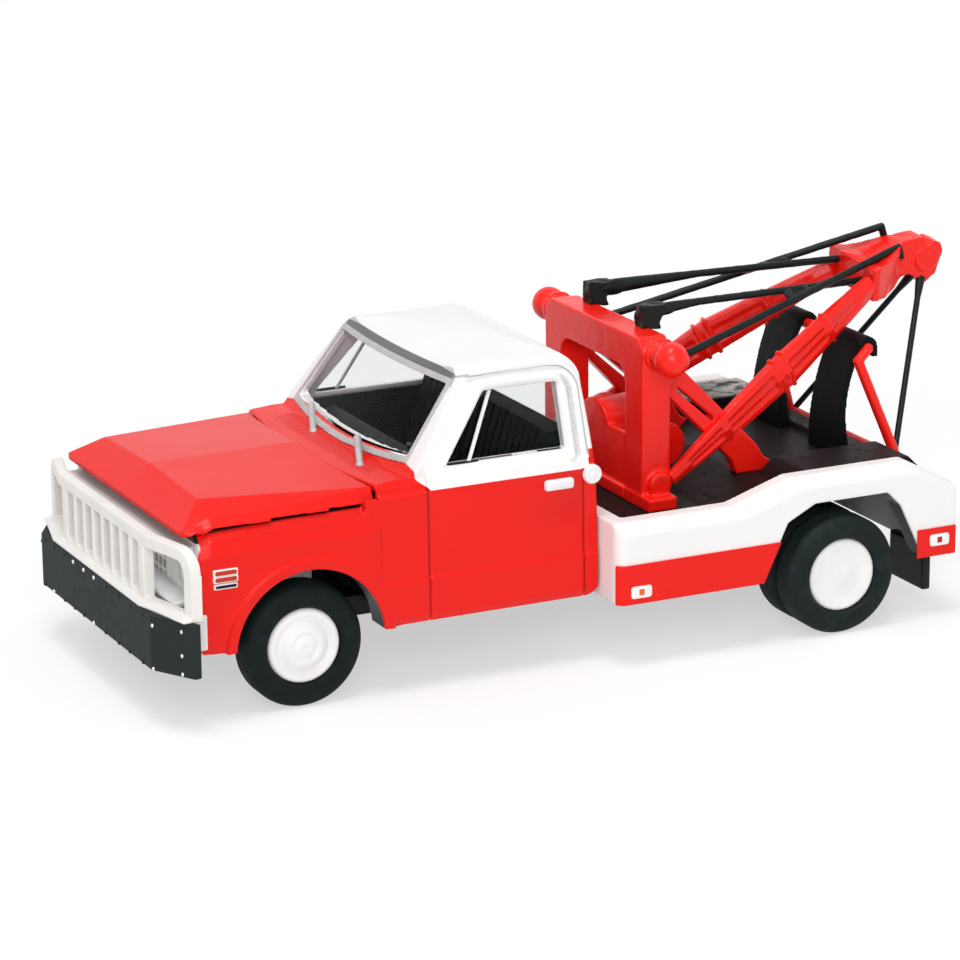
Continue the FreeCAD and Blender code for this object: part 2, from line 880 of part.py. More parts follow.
def make_headlights():
    """Round headlights in the grille's ends."""
    x = nose_x - shell_wall
    lens = headlight_hole(headlight_radius, x, x + headlight_depth)
    centre = V(x + headlight_depth - headlight_radius * 2, body_half_width - headlight_inset - fit_clearance,
               headlight_z)
    dome = Part.makeSphere(math.hypot(headlight_radius, headlight_radius * 2), centre)
    dome = dome.common(headlight_hole(headlight_radius, x + headlight_depth, x + headlight_depth * 3))
    return pair(joined([lens, dome]))


def make_bumper():
    """White front bumper that wraps round to the fenders."""
    half_width = body_half_width + bumper_proud
    nose_half_width = body_half_width - nose_narrowing
    path = [(bumper_end_x, -half_width), (bumper_front_x, -bumper_bend_half_width),
            (bumper_front_x, bumper_bend_half_width), (bumper_end_x, half_width)]
    inner = [(nose_x - fender_round / 2, half_width), (nose_x + fit_clearance, nose_half_width),
             (nose_x + fit_clearance, -nose_half_width), (nose_x - fender_round / 2, -half_width)]
    bumper = prism_z(path + inner, bumper_bottom_z, bumper_top_z)
    return bumper.cut(front_clip())


def make_push_pad():
    """Black push pad bolted to the front of the bumper."""
    path = [(pad_end_x, -pad_half_width), (front_reach, -pad_bend_half_width),
            (front_reach, pad_bend_half_width), (pad_end_x, pad_half_width)]
    pad = sheet_bend(path, pad_thickness, pad_bottom_z, pad_top_z)
    stem = wide_block(bumper_front_x, front_reach - pad_thickness / 2, pad_half_width / 3,
                      bumper_bottom_z + pad_thickness, bumper_top_z - pad_thickness)
    return joined([pad, stem])


def guard_corner_outline(half_width, low, inset):
    """Right-hand edge of the guard as (y, z) points up round its top corner, moved inwards by inset."""
    edge = half_width - inset
    top = guard_top_z - inset
    corner = guard_corner - inset
    turn = corner * quarter_share
    return [(edge, low), (edge, top - corner), (edge - turn, top - turn, "arc"), (edge - corner, top)]


def make_brush_guard():
    """White guard: a bent plate with rounded top corners, windows between its bars and a shelf on the pad."""
    path = [(guard_end_x, -guard_half_width), (guard_front_x, -guard_bend_half_width),
            (guard_front_x, guard_bend_half_width), (guard_end_x, guard_half_width)]
    low = pad_top_z
    rear = guard_end_x - guard_depth - overrun
    front = guard_front_x + overrun
    plate = sheet_bend(path, guard_depth, low, guard_top_z)
    plate = plate.common(prism_x(both_halves(guard_corner_outline(guard_half_width, low, 0.0)), rear, front))
    bottom = low + guard_rail / 2
    top = guard_top_z - guard_rail
    pitch = guard_bar_span / (guard_bar_count - 1)
    for index in range(guard_bar_count - 1):
        y = pitch * index - guard_bar_span / 2
        plate = plate.cut(block(rear, front, y + guard_bar / 2, y + pitch - guard_bar / 2, bottom, top))
    inner = guard_bar_span / 2 + guard_end_bar
    outline = guard_corner_outline(guard_half_width, bottom, guard_rail) + [(inner, top), (inner, bottom)]
    window = prism_x(outline, rear, front)
    plate = plate.cut(window).cut(mirrored(window))
    shelf_path = [(x + guard_shelf, y) for x, y in path]
    shelf = sheet_bend(shelf_path, guard_depth + guard_shelf, low, low + guard_rail / 4)
    return joined([plate, shelf])


# Small side pieces

def make_handle():
    """Left door handle."""
    face = body_half_width - door_lean
    return block(handle_x - handle_length / 2, handle_x + handle_length / 2, face - handle_proud,
                 face + handle_proud, handle_z - handle_height / 2, handle_z + handle_height / 2)


def make_filler():
    """Round fuel filler cap behind the left door."""
    face = body_half_width - door_lean
    return disc(filler_radius, filler_x, filler_z, face - handle_proud, face + handle_proud)


def make_badge():
    """Amber lamp badge with a silver frame, on the left fender."""
    return block(badge_x - badge_length / 2, badge_x + badge_length / 2,
                 body_half_width - badge_sink, body_half_width + badge_proud,
                 badge_z - badge_height / 2, badge_z + badge_height / 2)


def make_wipers():
    """Two wiper arms from the cowl up to the windshield's lower frame."""
    arms = []
    for x, y in ((wiper_near_x, wiper_near_y), (wiper_far_x, wiper_far_y)):
        base = V(x, y, cowl_z + cowl_rise)
        arms.append(rod(base, base + V(-wiper_run, -wiper_sweep, wiper_rise), wiper_width / 2))
    return Part.makeCompound(arms)


# Chassis and wheels

def make_chassis():
    """Base casting with rails, engine tray and axle saddles."""
    top = chassis_bottom_z + chassis_thickness
    spine = wide_block(chassis_rear_x, chassis_front_x, chassis_half_width, chassis_bottom_z, top)
    tray = wide_block(cab_rear_x + shell_wall, windshield_base_x + shell_wall, arch_inner_half_width,
                      chassis_bottom_z + shell_wall, top)
    tie = wide_block(chassis_front_x - 2 * shell_wall, chassis_front_x + shell_wall, arch_inner_half_width,
                     bumper_bottom_z - 2 * shell_wall, body_bottom)
    base = joined([spine, tray, tie])
    for x in (0.0, rear_axle_x):
        saddle = wide_block(x - axle_boss, x + axle_boss, chassis_half_width,
                            tyre_radius - axle_boss, tyre_radius + axle_boss)
        base = joined([base, saddle])
    for x in (0.0, rear_axle_x):
        base = base.cut(disc(axle_radius + running_clearance, x, tyre_radius,
                             -chassis_half_width - overrun, chassis_half_width + overrun))
    return base


def make_axle(x, face):
    """Plain axle pin that carries a pair of wheels."""
    end = face - disc_dish * 2
    return disc(axle_radius, x, tyre_radius, -end, end)


def revolve_about_axle(points, x):
    """Round solid about an axle from (y, radius) points."""
    face = face_of(points, lambda u, v: V(x, u, tyre_radius + v))
    return face.revolve(V(x, 0, tyre_radius), Y_DIRECTION, 360)


def tyre(x, outer_y):
    """One smooth tyre whose outer face lies at outer_y."""
    inner_y = outer_y - tyre_width
    bore = disc_radius + fit_clearance
    return revolve_about_axle([
        (outer_y - tyre_shoulder / 2, bore), (outer_y, between(bore, tyre_radius, sidewall_share)),
        (outer_y - tyre_shoulder / 3, tyre_radius - tyre_shoulder),
        (outer_y - tyre_shoulder, tyre_radius), (inner_y + tyre_shoulder, tyre_radius),
        (inner_y + tyre_shoulder / 3, tyre_radius - tyre_shoulder),
        (inner_y, between(bore, tyre_radius, sidewall_share)), (inner_y + tyre_shoulder / 2, bore),
    ], x)


def front_disc(x, face):
    """Domed white wheel disc of a front wheel."""
    bore = axle_radius + fit_clearance
    inner = face - disc_width
    pocket = face - 2 * disc_dish + fit_clearance
    return revolve_about_axle([
        (inner, bore), (inner, disc_radius), (face - tyre_shoulder, disc_radius),
        (face - disc_dish / 2, disc_radius * disc_rim_share),
        (face - disc_dish, disc_radius * disc_well_share), (face, disc_radius * disc_hub_share),
        (face + cap_proud - disc_dish, cap_radius),
        (face + cap_proud, cap_radius * cap_top_share), (face + cap_proud, 0.0), (face, 0.0),
        (face - disc_dish, 0.0), (pocket, 0.0), (pocket, bore),
    ], x)


def rear_disc(x, face):
    """Sunken white wheel disc of the rear duals, with its sleeve between the tyres."""
    bore = axle_radius + fit_clearance
    inner = face - tyre_width - dual_gap - disc_width
    middle = face - 2 * disc_dish
    return revolve_about_axle([
        (inner, bore), (inner, disc_radius), (face - tyre_shoulder, disc_radius),
        (face - tyre_shoulder, disc_radius * disc_rim_share),
        (middle - disc_dish, disc_radius * disc_well_share),
        (middle - disc_dish, disc_radius * disc_hub_share), (middle + disc_dish, cap_radius),
        (middle + disc_dish, 0.0), (middle + fit_clearance, 0.0), (middle + fit_clearance, bore),
    ], x)


# Service bed

def bed_outline(drop):
    """Side view of the bed, with its top edge lowered by drop."""
    return [
        (bed_front_x, bed_bottom_z), (bed_front_x, bed_rail_z - drop),
        (bed_hump_front_x - drop, bed_rail_z - drop), (bed_hump_x - drop, bed_hump_z - drop),
        (bed_hump_rear_x - drop / 2, bed_hump_z - drop),
        (bed_rear_x, bed_tail_z - drop / 3), (bed_rear_x, bed_bottom_z),
    ]


def bed_plan(grow):
    """Bed seen from above with rounded front corners, made larger by grow."""
    half = bed_half_width + grow
    front = bed_front_x + grow
    turn = bed_corner * quarter_share
    return [
        (bed_rear_x, -half), (front - bed_corner, -half), (front - turn, turn - half, "arc"),
        (front, bed_corner - half), (front, half - bed_corner), (front - turn, half - turn, "arc"),
        (front - bed_corner, half), (bed_rear_x, half),
    ]


def bed_arch_outline():
    """Wheel opening in the side of the bed."""
    return [
        (bed_arch_front_x, bed_bottom_z - overrun), (bed_arch_front_x, bed_bottom_z),
        (bed_arch_front_x - bed_arch_slant, bed_arch_z - bed_arch_corner / 2),
        (bed_arch_front_x - bed_arch_slant - bed_arch_corner, bed_arch_z),
        (bed_arch_rear_x + bed_arch_slant + bed_arch_corner / 2, bed_arch_z),
        (bed_arch_rear_x + bed_arch_slant, bed_arch_z - bed_arch_corner / 2),
        (bed_arch_rear_x, bed_bottom_z), (bed_arch_rear_x, bed_bottom_z - overrun),
    ]


def deck_half_width():
    """Half the width of the space between the rails."""
    return bed_half_width - bed_rail_inset - bed_wall


def wheel_box(low_z, grow):
    """Raised box over the left rear wheels, made larger by grow."""
    return prism_y([
        (box_front_x + grow, low_z), (box_front_x + grow, deck_rear_z),
        (box_front_x - box_slope, box_top_z + grow), (box_rear_x + box_slope, box_top_z + grow),
        (box_rear_x - grow, deck_rear_z), (box_rear_x - grow, low_z),
    ], box_inner_y - grow, deck_half_width() - fit_clearance + grow)


def make_bed():
    """White service body with bevelled rails, open below and above the rear wheels."""
    middle_half = bed_half_width - bed_rail_inset
    upper = bed_outline(0.0)
    lower = bed_outline(bed_rail_drop)
    middle = prism_y(upper, -middle_half, middle_half)
    side = loft([[V(x, middle_half, z) for x, z in upper], [V(x, bed_half_width, z) for x, z in lower]])
    bed = joined([middle, side, mirrored(side)]).common(prism_z(bed_plan(0.0), bed_bottom_z, model_height))
    inner_half = deck_half_width()
    bed = bed.cut(prism_y([
        (bed_front_x - bed_wall, deck_front_z - deck_thickness), (bed_front_x - bed_wall, model_height),
        (bed_rear_x - overrun, model_height), (bed_rear_x - overrun, deck_rear_z - deck_thickness),
        (deck_ramp_end_x, deck_rear_z - deck_thickness), (deck_ramp_x, deck_front_z - deck_thickness),
    ], -inner_half, inner_half))
    bed = bed.cut(wide_block(bed_rear_x - overrun, deck_rear_x, inner_half,
                             sling_low_z - sling_bar_radius - fit_clearance, model_height))
    bed = bed.cut(wide_block(bed_rear_x + bed_wall, bed_front_x - bed_wall, inner_half,
                             bed_bottom_z - overrun, deck_front_z - deck_thickness - bed_floor))
    side_space = prism_y(bed_arch_outline(), arch_inner_half_width, bed_half_width + overrun)
    box = wheel_box(bed_arch_z - overrun, fit_clearance)
    return bed.cut(side_space).cut(mirrored(side_space)).cut(box).cut(mirrored(box))


def make_deck():
    """Black deck plate between the rails, with a raised box over the wheels on each side."""
    half = deck_half_width() - fit_clearance
    front = bed_front_x - bed_wall - fit_clearance
    low = deck_thickness - fit_clearance
    plate = prism_y([
        (front, deck_front_z - low), (front, deck_front_z), (deck_ramp_x, deck_front_z),
        (deck_ramp_end_x, deck_rear_z), (deck_rear_x, deck_rear_z), (deck_rear_x, deck_rear_z - low),
        (deck_ramp_end_x, deck_rear_z - low), (deck_ramp_x, deck_front_z - low),
    ], -half, half)
    box = wheel_box(bed_arch_z + fit_clearance, 0.0)
    return joined([plate, box, mirrored(box)])


def make_skirts():
    """Raised red panels low on the bed's sides; the front ones turn round the corners."""
    slope = bed_arch_slant * (skirt_top_z - bed_bottom_z) / (bed_arch_z - bed_bottom_z - bed_arch_corner / 2)
    shell = prism_z(bed_plan(skirt_proud), bed_bottom_z, skirt_top_z)
    shell = shell.cut(prism_z(bed_plan(0.0), bed_bottom_z, skirt_top_z))
    front = shell.common(prism_y([
        (bed_front_x + skirt_proud, bed_bottom_z), (bed_front_x + skirt_proud, skirt_top_z),
        (bed_arch_front_x - slope, skirt_top_z), (bed_arch_front_x + fit_clearance, bed_bottom_z),
    ], bed_half_width - bed_corner / 2, bed_half_width + skirt_proud))
    rear = block(bed_rear_x + fit_clearance, skirt_rear_x, bed_half_width, bed_half_width + skirt_proud,
                 bed_bottom_z, skirt_rear_top_z)
    return Part.makeCompound([front, rear, mirrored(front), mirrored(rear)])


def make_flaps():
    """Black mud flaps behind the rear wheels."""
    outer = bed_half_width - bed_rail_inset - fit_clearance
    flap = block(flap_x - flap_thickness, flap_x, outer - flap_width, outer, flap_bottom_z,
                 bed_bottom_z + bed_floor)
    return pair(flap)


def make_markers():
    """Small side marker plates on the red panels."""
    face = bed_half_width + skirt_proud
    parts = []
    for x, top_z, share in ((bed_front_x - marker_setback, skirt_top_z, marker_front_share),
                            (bed_rear_x + marker_rear_inset, skirt_rear_top_z, marker_rear_share)):
        z = between(bed_bottom_z, top_z, share)
        lamp = block(x - marker_length / 2, x + marker_length / 2, face, face + marker_proud,
                     z - marker_height / 2, z + marker_height / 2)
        parts += [lamp, mirrored(lamp)]
    return Part.makeCompound(parts)


def make_tail_lamps():
    """Round tail lamps on the back of the bed."""
    parts = []
    for y in (bed_half_width - 2 * bed_wall, bed_half_width - 4 * bed_wall):
        lamp = Part.makeCylinder(tail_lamp_radius, tail_lamp_radius / 2,
                                 V(bed_rear_x - tail_lamp_radius / 2, y, skirt_top_z), X_DIRECTION)
        parts += [lamp, mirrored(lamp)]
    return Part.makeCompound(parts)


# Mast, winch and braces

def make_mast():
    """Red portal: two posts on feet under a deep beam, with a knob on a boss each side."""
    rear = mast_front_x - mast_depth
    post = prism_y([
        (mast_front_x, deck_front_z), (mast_front_x, beam_top_z - beam_chamfer),
        (rear - mast_flare, beam_top_z - beam_chamfer), (rear - mast_flare, beam_bottom_z),
        (rear, mast_flare_z), (rear, deck_front_z),
    ], post_inner_y, post_outer_y)
    foot = block(rear + foot_step, mast_front_x + foot_step, post_inner_y, foot_outer_y,
                 deck_front_z, deck_front_z + foot_height)
    collar = disc(collar_radius, knob_x, collar_z, post_inner_y, post_outer_y + collar_reach)
    neck = disc(knob_neck, knob_x, knob_z, post_inner_y, post_outer_y + knob_reach)
    ridge = disc(knob_neck + knob_ridge, knob_x, knob_z,
                 post_outer_y + knob_ridge, post_outer_y + 2 * knob_ridge)
    knob = Part.makeSphere(knob_radius, V(knob_x, post_outer_y + knob_reach, knob_z))
    parts = []
    for piece in (post, foot, collar, neck, ridge, knob):
        parts += [piece, mirrored(piece)]
    half = [(post_outer_y, beam_bottom_z), (post_outer_y, beam_top_z - beam_chamfer),
            (post_outer_y - beam_chamfer, beam_top_z)]
    parts.append(prism_x(both_halves(half), rear, mast_front_x))
    turn = haunch * quarter_share
    bracket = prism_x([
        (post_inner_y, beam_bottom_z), (post_inner_y, beam_bottom_z - haunch),
        (post_inner_y - turn, beam_bottom_z - turn, "arc"), (post_inner_y - haunch, beam_bottom_z),
    ], rear, mast_front_x)
    parts += [bracket, mirrored(bracket)]
    return joined(parts)


def make_winch():
    """Winch between the posts: front panel, housing, round barrel and a drum on each side."""
    half = post_inner_y - fit_clearance
    front = mast_front_x - foot_step
    panel = wide_block(front - winch_panel, front, half, deck_front_z, winch_panel_z)
    base = wide_block(mast_front_x - winch_panel, mast_front_x + foot_step, half, deck_front_z,
                      deck_front_z + foot_height)
    housing = wide_block(drum_x, front, half - drum_radius, deck_front_z, winch_housing_z)
    barrel = Part.makeCylinder(barrel_radius, front - winch_rear_x, V(winch_rear_x, 0, barrel_z), X_DIRECTION)
    drum = disc(drum_radius, drum_x, drum_z, -half, half)
    parts = [panel, base, housing, barrel, drum]
    for y in (half, half - 3 * flange_radius / 2):
        flange = disc(flange_radius, drum_x, drum_z, y - flange_thickness, y)
        parts += [flange, mirrored(flange)]
    return joined(parts)


def make_brace():
    """Flat slotted brace from the left post down to its toe on the deck."""
    top_x = mast_front_x - mast_depth
    rise = brace_width
    low_z = deck_rear_z
    outline = [
        (top_x, brace_top_z), (top_x, brace_top_z - rise - brace_width / 2),
        (brace_foot_x + brace_width / 2, low_z + brace_width / 2), (brace_foot_x + brace_foot_spread, low_z),
        (brace_foot_x - brace_foot_spread - brace_width / 2, low_z),
        (brace_foot_x - 2 * brace_foot_spread - brace_width / 2, low_z + brace_foot_spread),
        (brace_foot_x - brace_foot_spread - brace_width / 2, low_z + rise / 2),
        (brace_foot_x - brace_width / 2, low_z + rise),
    ]
    brace = prism_y(outline, brace_y - brace_thickness / 2, brace_y + brace_thickness / 2)
    ends = []
    for share in brace_slot_shares:
        ends.append((between(top_x, brace_foot_x, share), between(brace_top_z - rise, low_z + rise, share)))
    slot = prism_y([
        (ends[0][0], ends[0][1] + brace_slot / 2), (ends[0][0], ends[0][1] - brace_slot / 2),
        (ends[1][0], ends[1][1] - brace_slot / 2), (ends[1][0], ends[1][1] + brace_slot / 2),
    ], brace_y - brace_thickness, brace_y + brace_thickness)
    return brace.cut(slot)


# Booms, head and stays

def boom_centre(share):
    """Centre of the left boom at a share of its length, on two straight runs through its middle collar."""
    foot = V(boom_foot_x, boom_foot_y, boom_foot_z)
    collar = V(boom_collar_x, boom_collar_y, boom_collar_z)
    end = V(head_length - rear_reach, boom_end_y, model_height - boom_end_drop)
    if share <= boom_collar_share:
        return foot + (collar - foot) * (share / boom_collar_share)
    return collar + (end - collar) * ((share - boom_collar_share) / (1 - boom_collar_share))


def boom_section(share, grow):
    """Six-sided section of the left boom, grown about its centre."""
    along = boom_centre(boom_body_share) - boom_centre(0.0)
    side = V(along.y, -along.x, 0)
    side.normalize()
    up = side.cross(along)
    up.normalize()
    if up.z < 0:
        up = up * -1
    for low, high in zip(boom_shares[:-1], boom_shares[1:]):
        if low[0] <= share <= high[0]:
            part = (share - low[0]) / (high[0] - low[0])
            depth = between(low[1], high[1], part) * boom_depth * grow
            width = between(low[2], high[2], part) * boom_thickness * grow
    centre = boom_centre(share)
    tall = up * (depth / 2)
    wide = side * (width / 2)
    return [centre + tall + wide / 2, centre + wide, centre - tall + wide / 2,
            centre - tall - wide / 2, centre - wide, centre + tall - wide / 2]


def make_boom():
    """Left boom: a flat-sided spindle with ribs, from the mast foot to the head."""
    sections = [boom_section(shares[0], boom_body_share) for shares in boom_shares]
    length = (boom_centre(boom_body_share) - boom_centre(0.0)).Length
    parts = [loft(sections)]
    for share in boom_rib_shares:
        half = boom_rib_width / length / 2
        sides = [boom_section(share - half, boom_rib_grow), boom_section(share + half, boom_rib_grow)]
        parts.append(loft(sides))
    return joined(parts)


def make_boom_head():
    """Lobed head casting where the booms meet, with the pulley's boss; it leans to the left."""
    front = head_length - rear_reach
    top = model_height - head_drop
    low = top - head_depth
    side = prism_y([(front - head_length * along, low + head_depth * up) for along, up in head_shares],
                   -head_half_width, head_half_width)
    half = [(head_half_width, front), (head_half_width, front - pulley_radius / 2),
            (head_neck_half_width, head_neck_x), (head_neck_half_width, -rear_reach)]
    outline = [(x, y) for y, x in half] + [(x, -y) for y, x in reversed(half)]
    head = side.common(prism_z(outline, low, top))
    pulley_z = model_height - pulley_drop
    pulley = disc(pulley_radius, pulley_inset - rear_reach, pulley_z, -pulley_half_width, pulley_half_width)
    head = joined([head, pulley])
    head.rotate(V(0, 0, pulley_z), X_DIRECTION, -head_lean_deg)
    return head


def make_stay(bend_drop, tip_drop):
    """Plastic stay, drawn on the left: a bracket on the beam, two crossing rods and the web between them."""
    rear = mast_front_x - mast_depth
    bracket = prism_y([
        (bracket_front_x, beam_top_z), (bracket_front_x, beam_top_z + bracket_height),
        (bracket_front_x - 2 * bracket_depth, beam_top_z + bracket_height),
        (bracket_front_x - 2 * bracket_depth, beam_top_z + bracket_height - 2 * stay_radius),
        (rear, beam_top_z + bracket_height / 3), (rear, beam_top_z),
    ], bracket_inner_y, bracket_inner_y + bracket_width)
    upper_start = V(rear, bracket_inner_y + bracket_width / 2, beam_top_z + bracket_height - stay_radius)
    upper_end = V(stay_tip_x, stay_tip_y, model_height - tip_drop)
    long_start = V(stay_foot_x, stay_foot_y, stay_foot_z)
    bend = V(stay_bend_x, stay_bend_y, model_height - bend_drop)
    foot = bend - V(stay_radius, 0, stay_bend_foot)
    parts = [bracket, rod(upper_start, upper_end, stay_radius), rod(long_start, bend, stay_radius),
             Part.makeSphere(stay_radius, bend), rod(bend, foot, stay_radius)]
    for upper_share, long_share in zip(web_shares, web_long_shares):
        on_upper = upper_start + (upper_end - upper_start) * upper_share
        on_long = long_start + (bend - long_start) * long_share
        parts.append(rod(on_upper, on_long, stay_radius))
    return joined(parts)


# Cables, sling and belts

def make_cable():
    """Left taut hoist cable from the head down to the sling's low bar."""
    top = V(pulley_inset - rear_reach + cable_radius, cable_top_y, model_height - cable_top_drop)
    foot = V(sling_low_x, sling_low_half_width - sling_bar_radius, sling_low_z)
    return rod(top, foot, cable_radius)


def make_sling_frame():
    """Red sling frame: a top bar, two legs and a low bar behind the deck."""
    top = V(sling_top_x, sling_leg_y, sling_top_z)
    knee = V(sling_leg_x, sling_leg_y, sling_leg_z)
    low = V(sling_low_x, sling_low_half_width, sling_low_z)
    bar = disc(sling_bar_radius, sling_top_x, sling_top_z, -sling_top_half_width, sling_top_half_width)
    sill = disc(sling_bar_radius, sling_low_x, sling_low_z, -sling_low_half_width, sling_low_half_width)
    parts = [bar, sill]
    for piece in (rod(top, knee, sling_bar_radius), Part.makeSphere(sling_bar_radius, knee),
                  rod(knee, low, sling_bar_radius), Part.makeSphere(sling_bar_radius, low)):
        parts += [piece, mirrored(piece)]
    return joined(parts)


def make_belt():
    """Left black rubber tow belt, from the deck up and over the top bar."""
    inner = sling_bar_radius + fit_clearance
    outer = inner + belt_thickness
    outline = [
        (belt_foot_x + belt_foot_spread, deck_rear_z), (belt_mid_x, belt_mid_z, "arc"),
        (sling_top_x + outer, sling_top_z), (sling_top_x, sling_top_z + outer, "arc"),
        (sling_top_x - outer, sling_top_z), (sling_top_x - outer, belt_curl_z),
        (sling_top_x - inner, belt_curl_z), (sling_top_x - inner, sling_top_z),
        (sling_top_x, sling_top_z + inner, "arc"),
        (sling_top_x + inner, sling_top_z), (belt_mid_x - belt_thickness, belt_mid_z, "arc"),
        (belt_foot_x - belt_foot_spread, deck_rear_z),
    ]
    return prism_y(outline, belt_inner_y, belt_outer_y)


# Assembly

def export(name, shape):
    """Move a piece to the model's origin and write it."""
    moved = shape.copy()
    moved.translate(V((rear_reach - front_reach) / 2, 0, 0))
    moved.exportStep("parts/" + name + ".step")


def main():
    """Build every piece; a piece that meets another is cut to it, so that they touch and never overlap."""
    os.makedirs("parts", exist_ok=True)
    body = make_body()
    chassis = make_chassis().cut(body)
    bumper = make_bumper()
    trim = make_windshield_trim().cut(body)
    windshield = make_windshield().cut(body)
    guard = make_brush_guard().cut(bumper)
    dashboard = make_dashboard().cut(body)
    side_windows = make_side_windows().cut(body)
    bed = make_bed()
    deck = make_deck()
    head = make_boom_head()
    mast = make_mast()
    winch = make_winch().cut(mast).cut(deck)
    stays = [make_stay(*drops).cut(mast) for drops in zip(stay_bend_drops, stay_tip_drops)]
    stays = [stays[0].cut(head), mirrored(stays[1]).cut(head)]
    brace = make_brace().cut(mast).cut(winch).cut(deck).cut(stays[0]).cut(mirrored(stays[1]))
    boom = make_boom().cut(deck).cut(mast).cut(winch).cut(brace)
    booms = [one.cut(head).cut(stay) for one, stay in zip((boom, mirrored(boom)), stays)]
    sling = make_sling_frame().cut(deck).cut(bed)
    belt = make_belt().cut(sling).cut(deck)
    cable = make_cable().cut(sling).cut(deck).cut(bed).cut(belt)
    cables = [one.cut(head) for one in (cable, mirrored(cable))]
    rear_inner_face = rear_wheel_face - tyre_width - dual_gap
    rear_tyres = [tyre(rear_axle_x, face) for face in (rear_wheel_face, rear_inner_face)]
    pieces = {
        "body_casting": body,
        "hood": make_hood(),
        "windshield": windshield,
        "windshield_trim": trim,
        "wiper_stubs": make_wipers().cut(body).cut(trim).cut(windshield),
        "side_windows": side_windows,
        "vent_bars": make_vent_bars().cut(side_windows).cut(body),
        "rear_window": make_rear_window().cut(body),
        "seat": make_seat().cut(body),
        "dashboard": dashboard,
        "steering_wheel": make_steering_wheel().cut(dashboard).cut(body),
        "engine": make_engine().cut(chassis),
        "grille_backing": make_grille_backing(),
        "grille": make_grille().cut(guard),
        "headlights": make_headlights(),
        "front_bumper": bumper,
        "push_pad": make_push_pad().cut(bumper),
        "brush_guard": guard,
        "door_handles": pair(make_handle()).cut(body),
        "fuel_fillers": pair(make_filler()).cut(body),
        "fender_badges": pair(make_badge()).cut(body),
        "chassis": chassis,
        "front_axle": make_axle(0.0, front_wheel_face),
        "front_tyres": pair(tyre(0.0, front_wheel_face)),
        "front_discs": pair(front_disc(0.0, front_wheel_face)),
        "rear_axle": make_axle(rear_axle_x, rear_wheel_face),
        "rear_tyres": Part.makeCompound(rear_tyres + [mirrored(one) for one in rear_tyres]),
        "rear_discs": pair(rear_disc(rear_axle_x, rear_wheel_face)),
        "bed": bed,
        "deck": deck,
        "skirt_panels": make_skirts(),
        "mud_flaps": make_flaps().cut(bed),
        "marker_lamps": make_markers(),
        "tail_lamps": make_tail_lamps(),
        "mast": mast,
        "winch": winch,
        "mast_braces": pair(brace),
        "boom_left": booms[0],
        "boom_right": booms[1],
        "boom_head": head,
        "stay_left": stays[0],
        "stay_right": stays[1],
        "hoist_cables": Part.makeCompound(cables),
        "sling_frame": sling,
        "sling_belts": pair(belt),
    }
    for name, shape in pieces.items():
        export(name, shape)
        box = shape.BoundBox
        print(f"{name:16s} solids {len(shape.Solids)} valid {shape.isValid()} volume {shape.Volume:8.1f} "
              f"x {box.XMin:7.2f} {box.XMax:7.2f} y {box.YMin:7.2f} {box.YMax:7.2f} "
              f"z {box.ZMin:6.2f} {box.ZMax:6.2f}")


main()
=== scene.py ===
"""Looks of the die-cast tow truck: paints, plastics, small trim, studio and camera."""
import json
import logging
import math
from dataclasses import dataclass
from enum import Enum
from typing import Callable, Sequence, Union

import bpy
import numpy as np
from mathutils import Matrix, Vector

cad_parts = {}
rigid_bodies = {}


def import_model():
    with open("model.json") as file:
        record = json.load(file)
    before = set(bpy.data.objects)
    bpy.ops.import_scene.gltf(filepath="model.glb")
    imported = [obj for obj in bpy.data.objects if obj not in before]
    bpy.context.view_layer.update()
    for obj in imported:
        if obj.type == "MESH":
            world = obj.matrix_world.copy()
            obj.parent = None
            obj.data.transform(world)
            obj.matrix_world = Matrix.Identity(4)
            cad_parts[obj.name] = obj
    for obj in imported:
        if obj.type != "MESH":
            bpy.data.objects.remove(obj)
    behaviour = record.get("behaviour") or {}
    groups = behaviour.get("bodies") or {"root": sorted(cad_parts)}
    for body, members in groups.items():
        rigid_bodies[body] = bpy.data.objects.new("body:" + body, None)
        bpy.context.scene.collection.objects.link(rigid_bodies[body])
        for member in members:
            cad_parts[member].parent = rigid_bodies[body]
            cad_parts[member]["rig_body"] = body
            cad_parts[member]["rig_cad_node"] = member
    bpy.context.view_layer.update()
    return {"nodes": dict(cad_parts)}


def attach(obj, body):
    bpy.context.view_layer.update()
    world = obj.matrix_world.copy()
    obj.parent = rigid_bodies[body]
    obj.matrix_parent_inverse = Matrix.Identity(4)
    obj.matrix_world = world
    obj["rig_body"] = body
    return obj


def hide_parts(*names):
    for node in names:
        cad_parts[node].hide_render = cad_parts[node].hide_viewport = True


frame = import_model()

LOG = logging.getLogger("tow_truck")
MM = 0.001
AXLE_X = 30.1
WHEEL_RADIUS = 5.7
REAR_AXLE_X = -52.8
ARCH = (-0.4, 5.75)
DOOR_SEAMS = (-12.1, -27.6)
TRIANGLES = 35000
SHARP = 60.0
WHITE = (1.0, 1.0, 1.0)
Point = Sequence[float]
Colour = tuple[float, float, float]
Piece = bpy.types.Object
Paint = bpy.types.Material
Push = Callable[[np.ndarray], np.ndarray]


class Body(Enum):
    """The parts of the model that move on their own."""

    TRUCK = "truck"
    FRONT = "front_wheelset"
    REAR = "rear_wheelset"
    HOOD = "hood"


class Slot(Enum):
    """The record's material slots."""

    RED = "red_enamel"
    WHITE = "white_enamel"
    SILVER = "silver_paint"
    CLEAR = "clear_plastic"
    BLACK = "black_plastic"
    RED_PLASTIC = "red_plastic"
    WHITE_PLASTIC = "white_plastic"
    LAMP = "lamp_red"
    RUBBER = "tyre_rubber"
    STEEL = "axle_steel"


# Shader maths


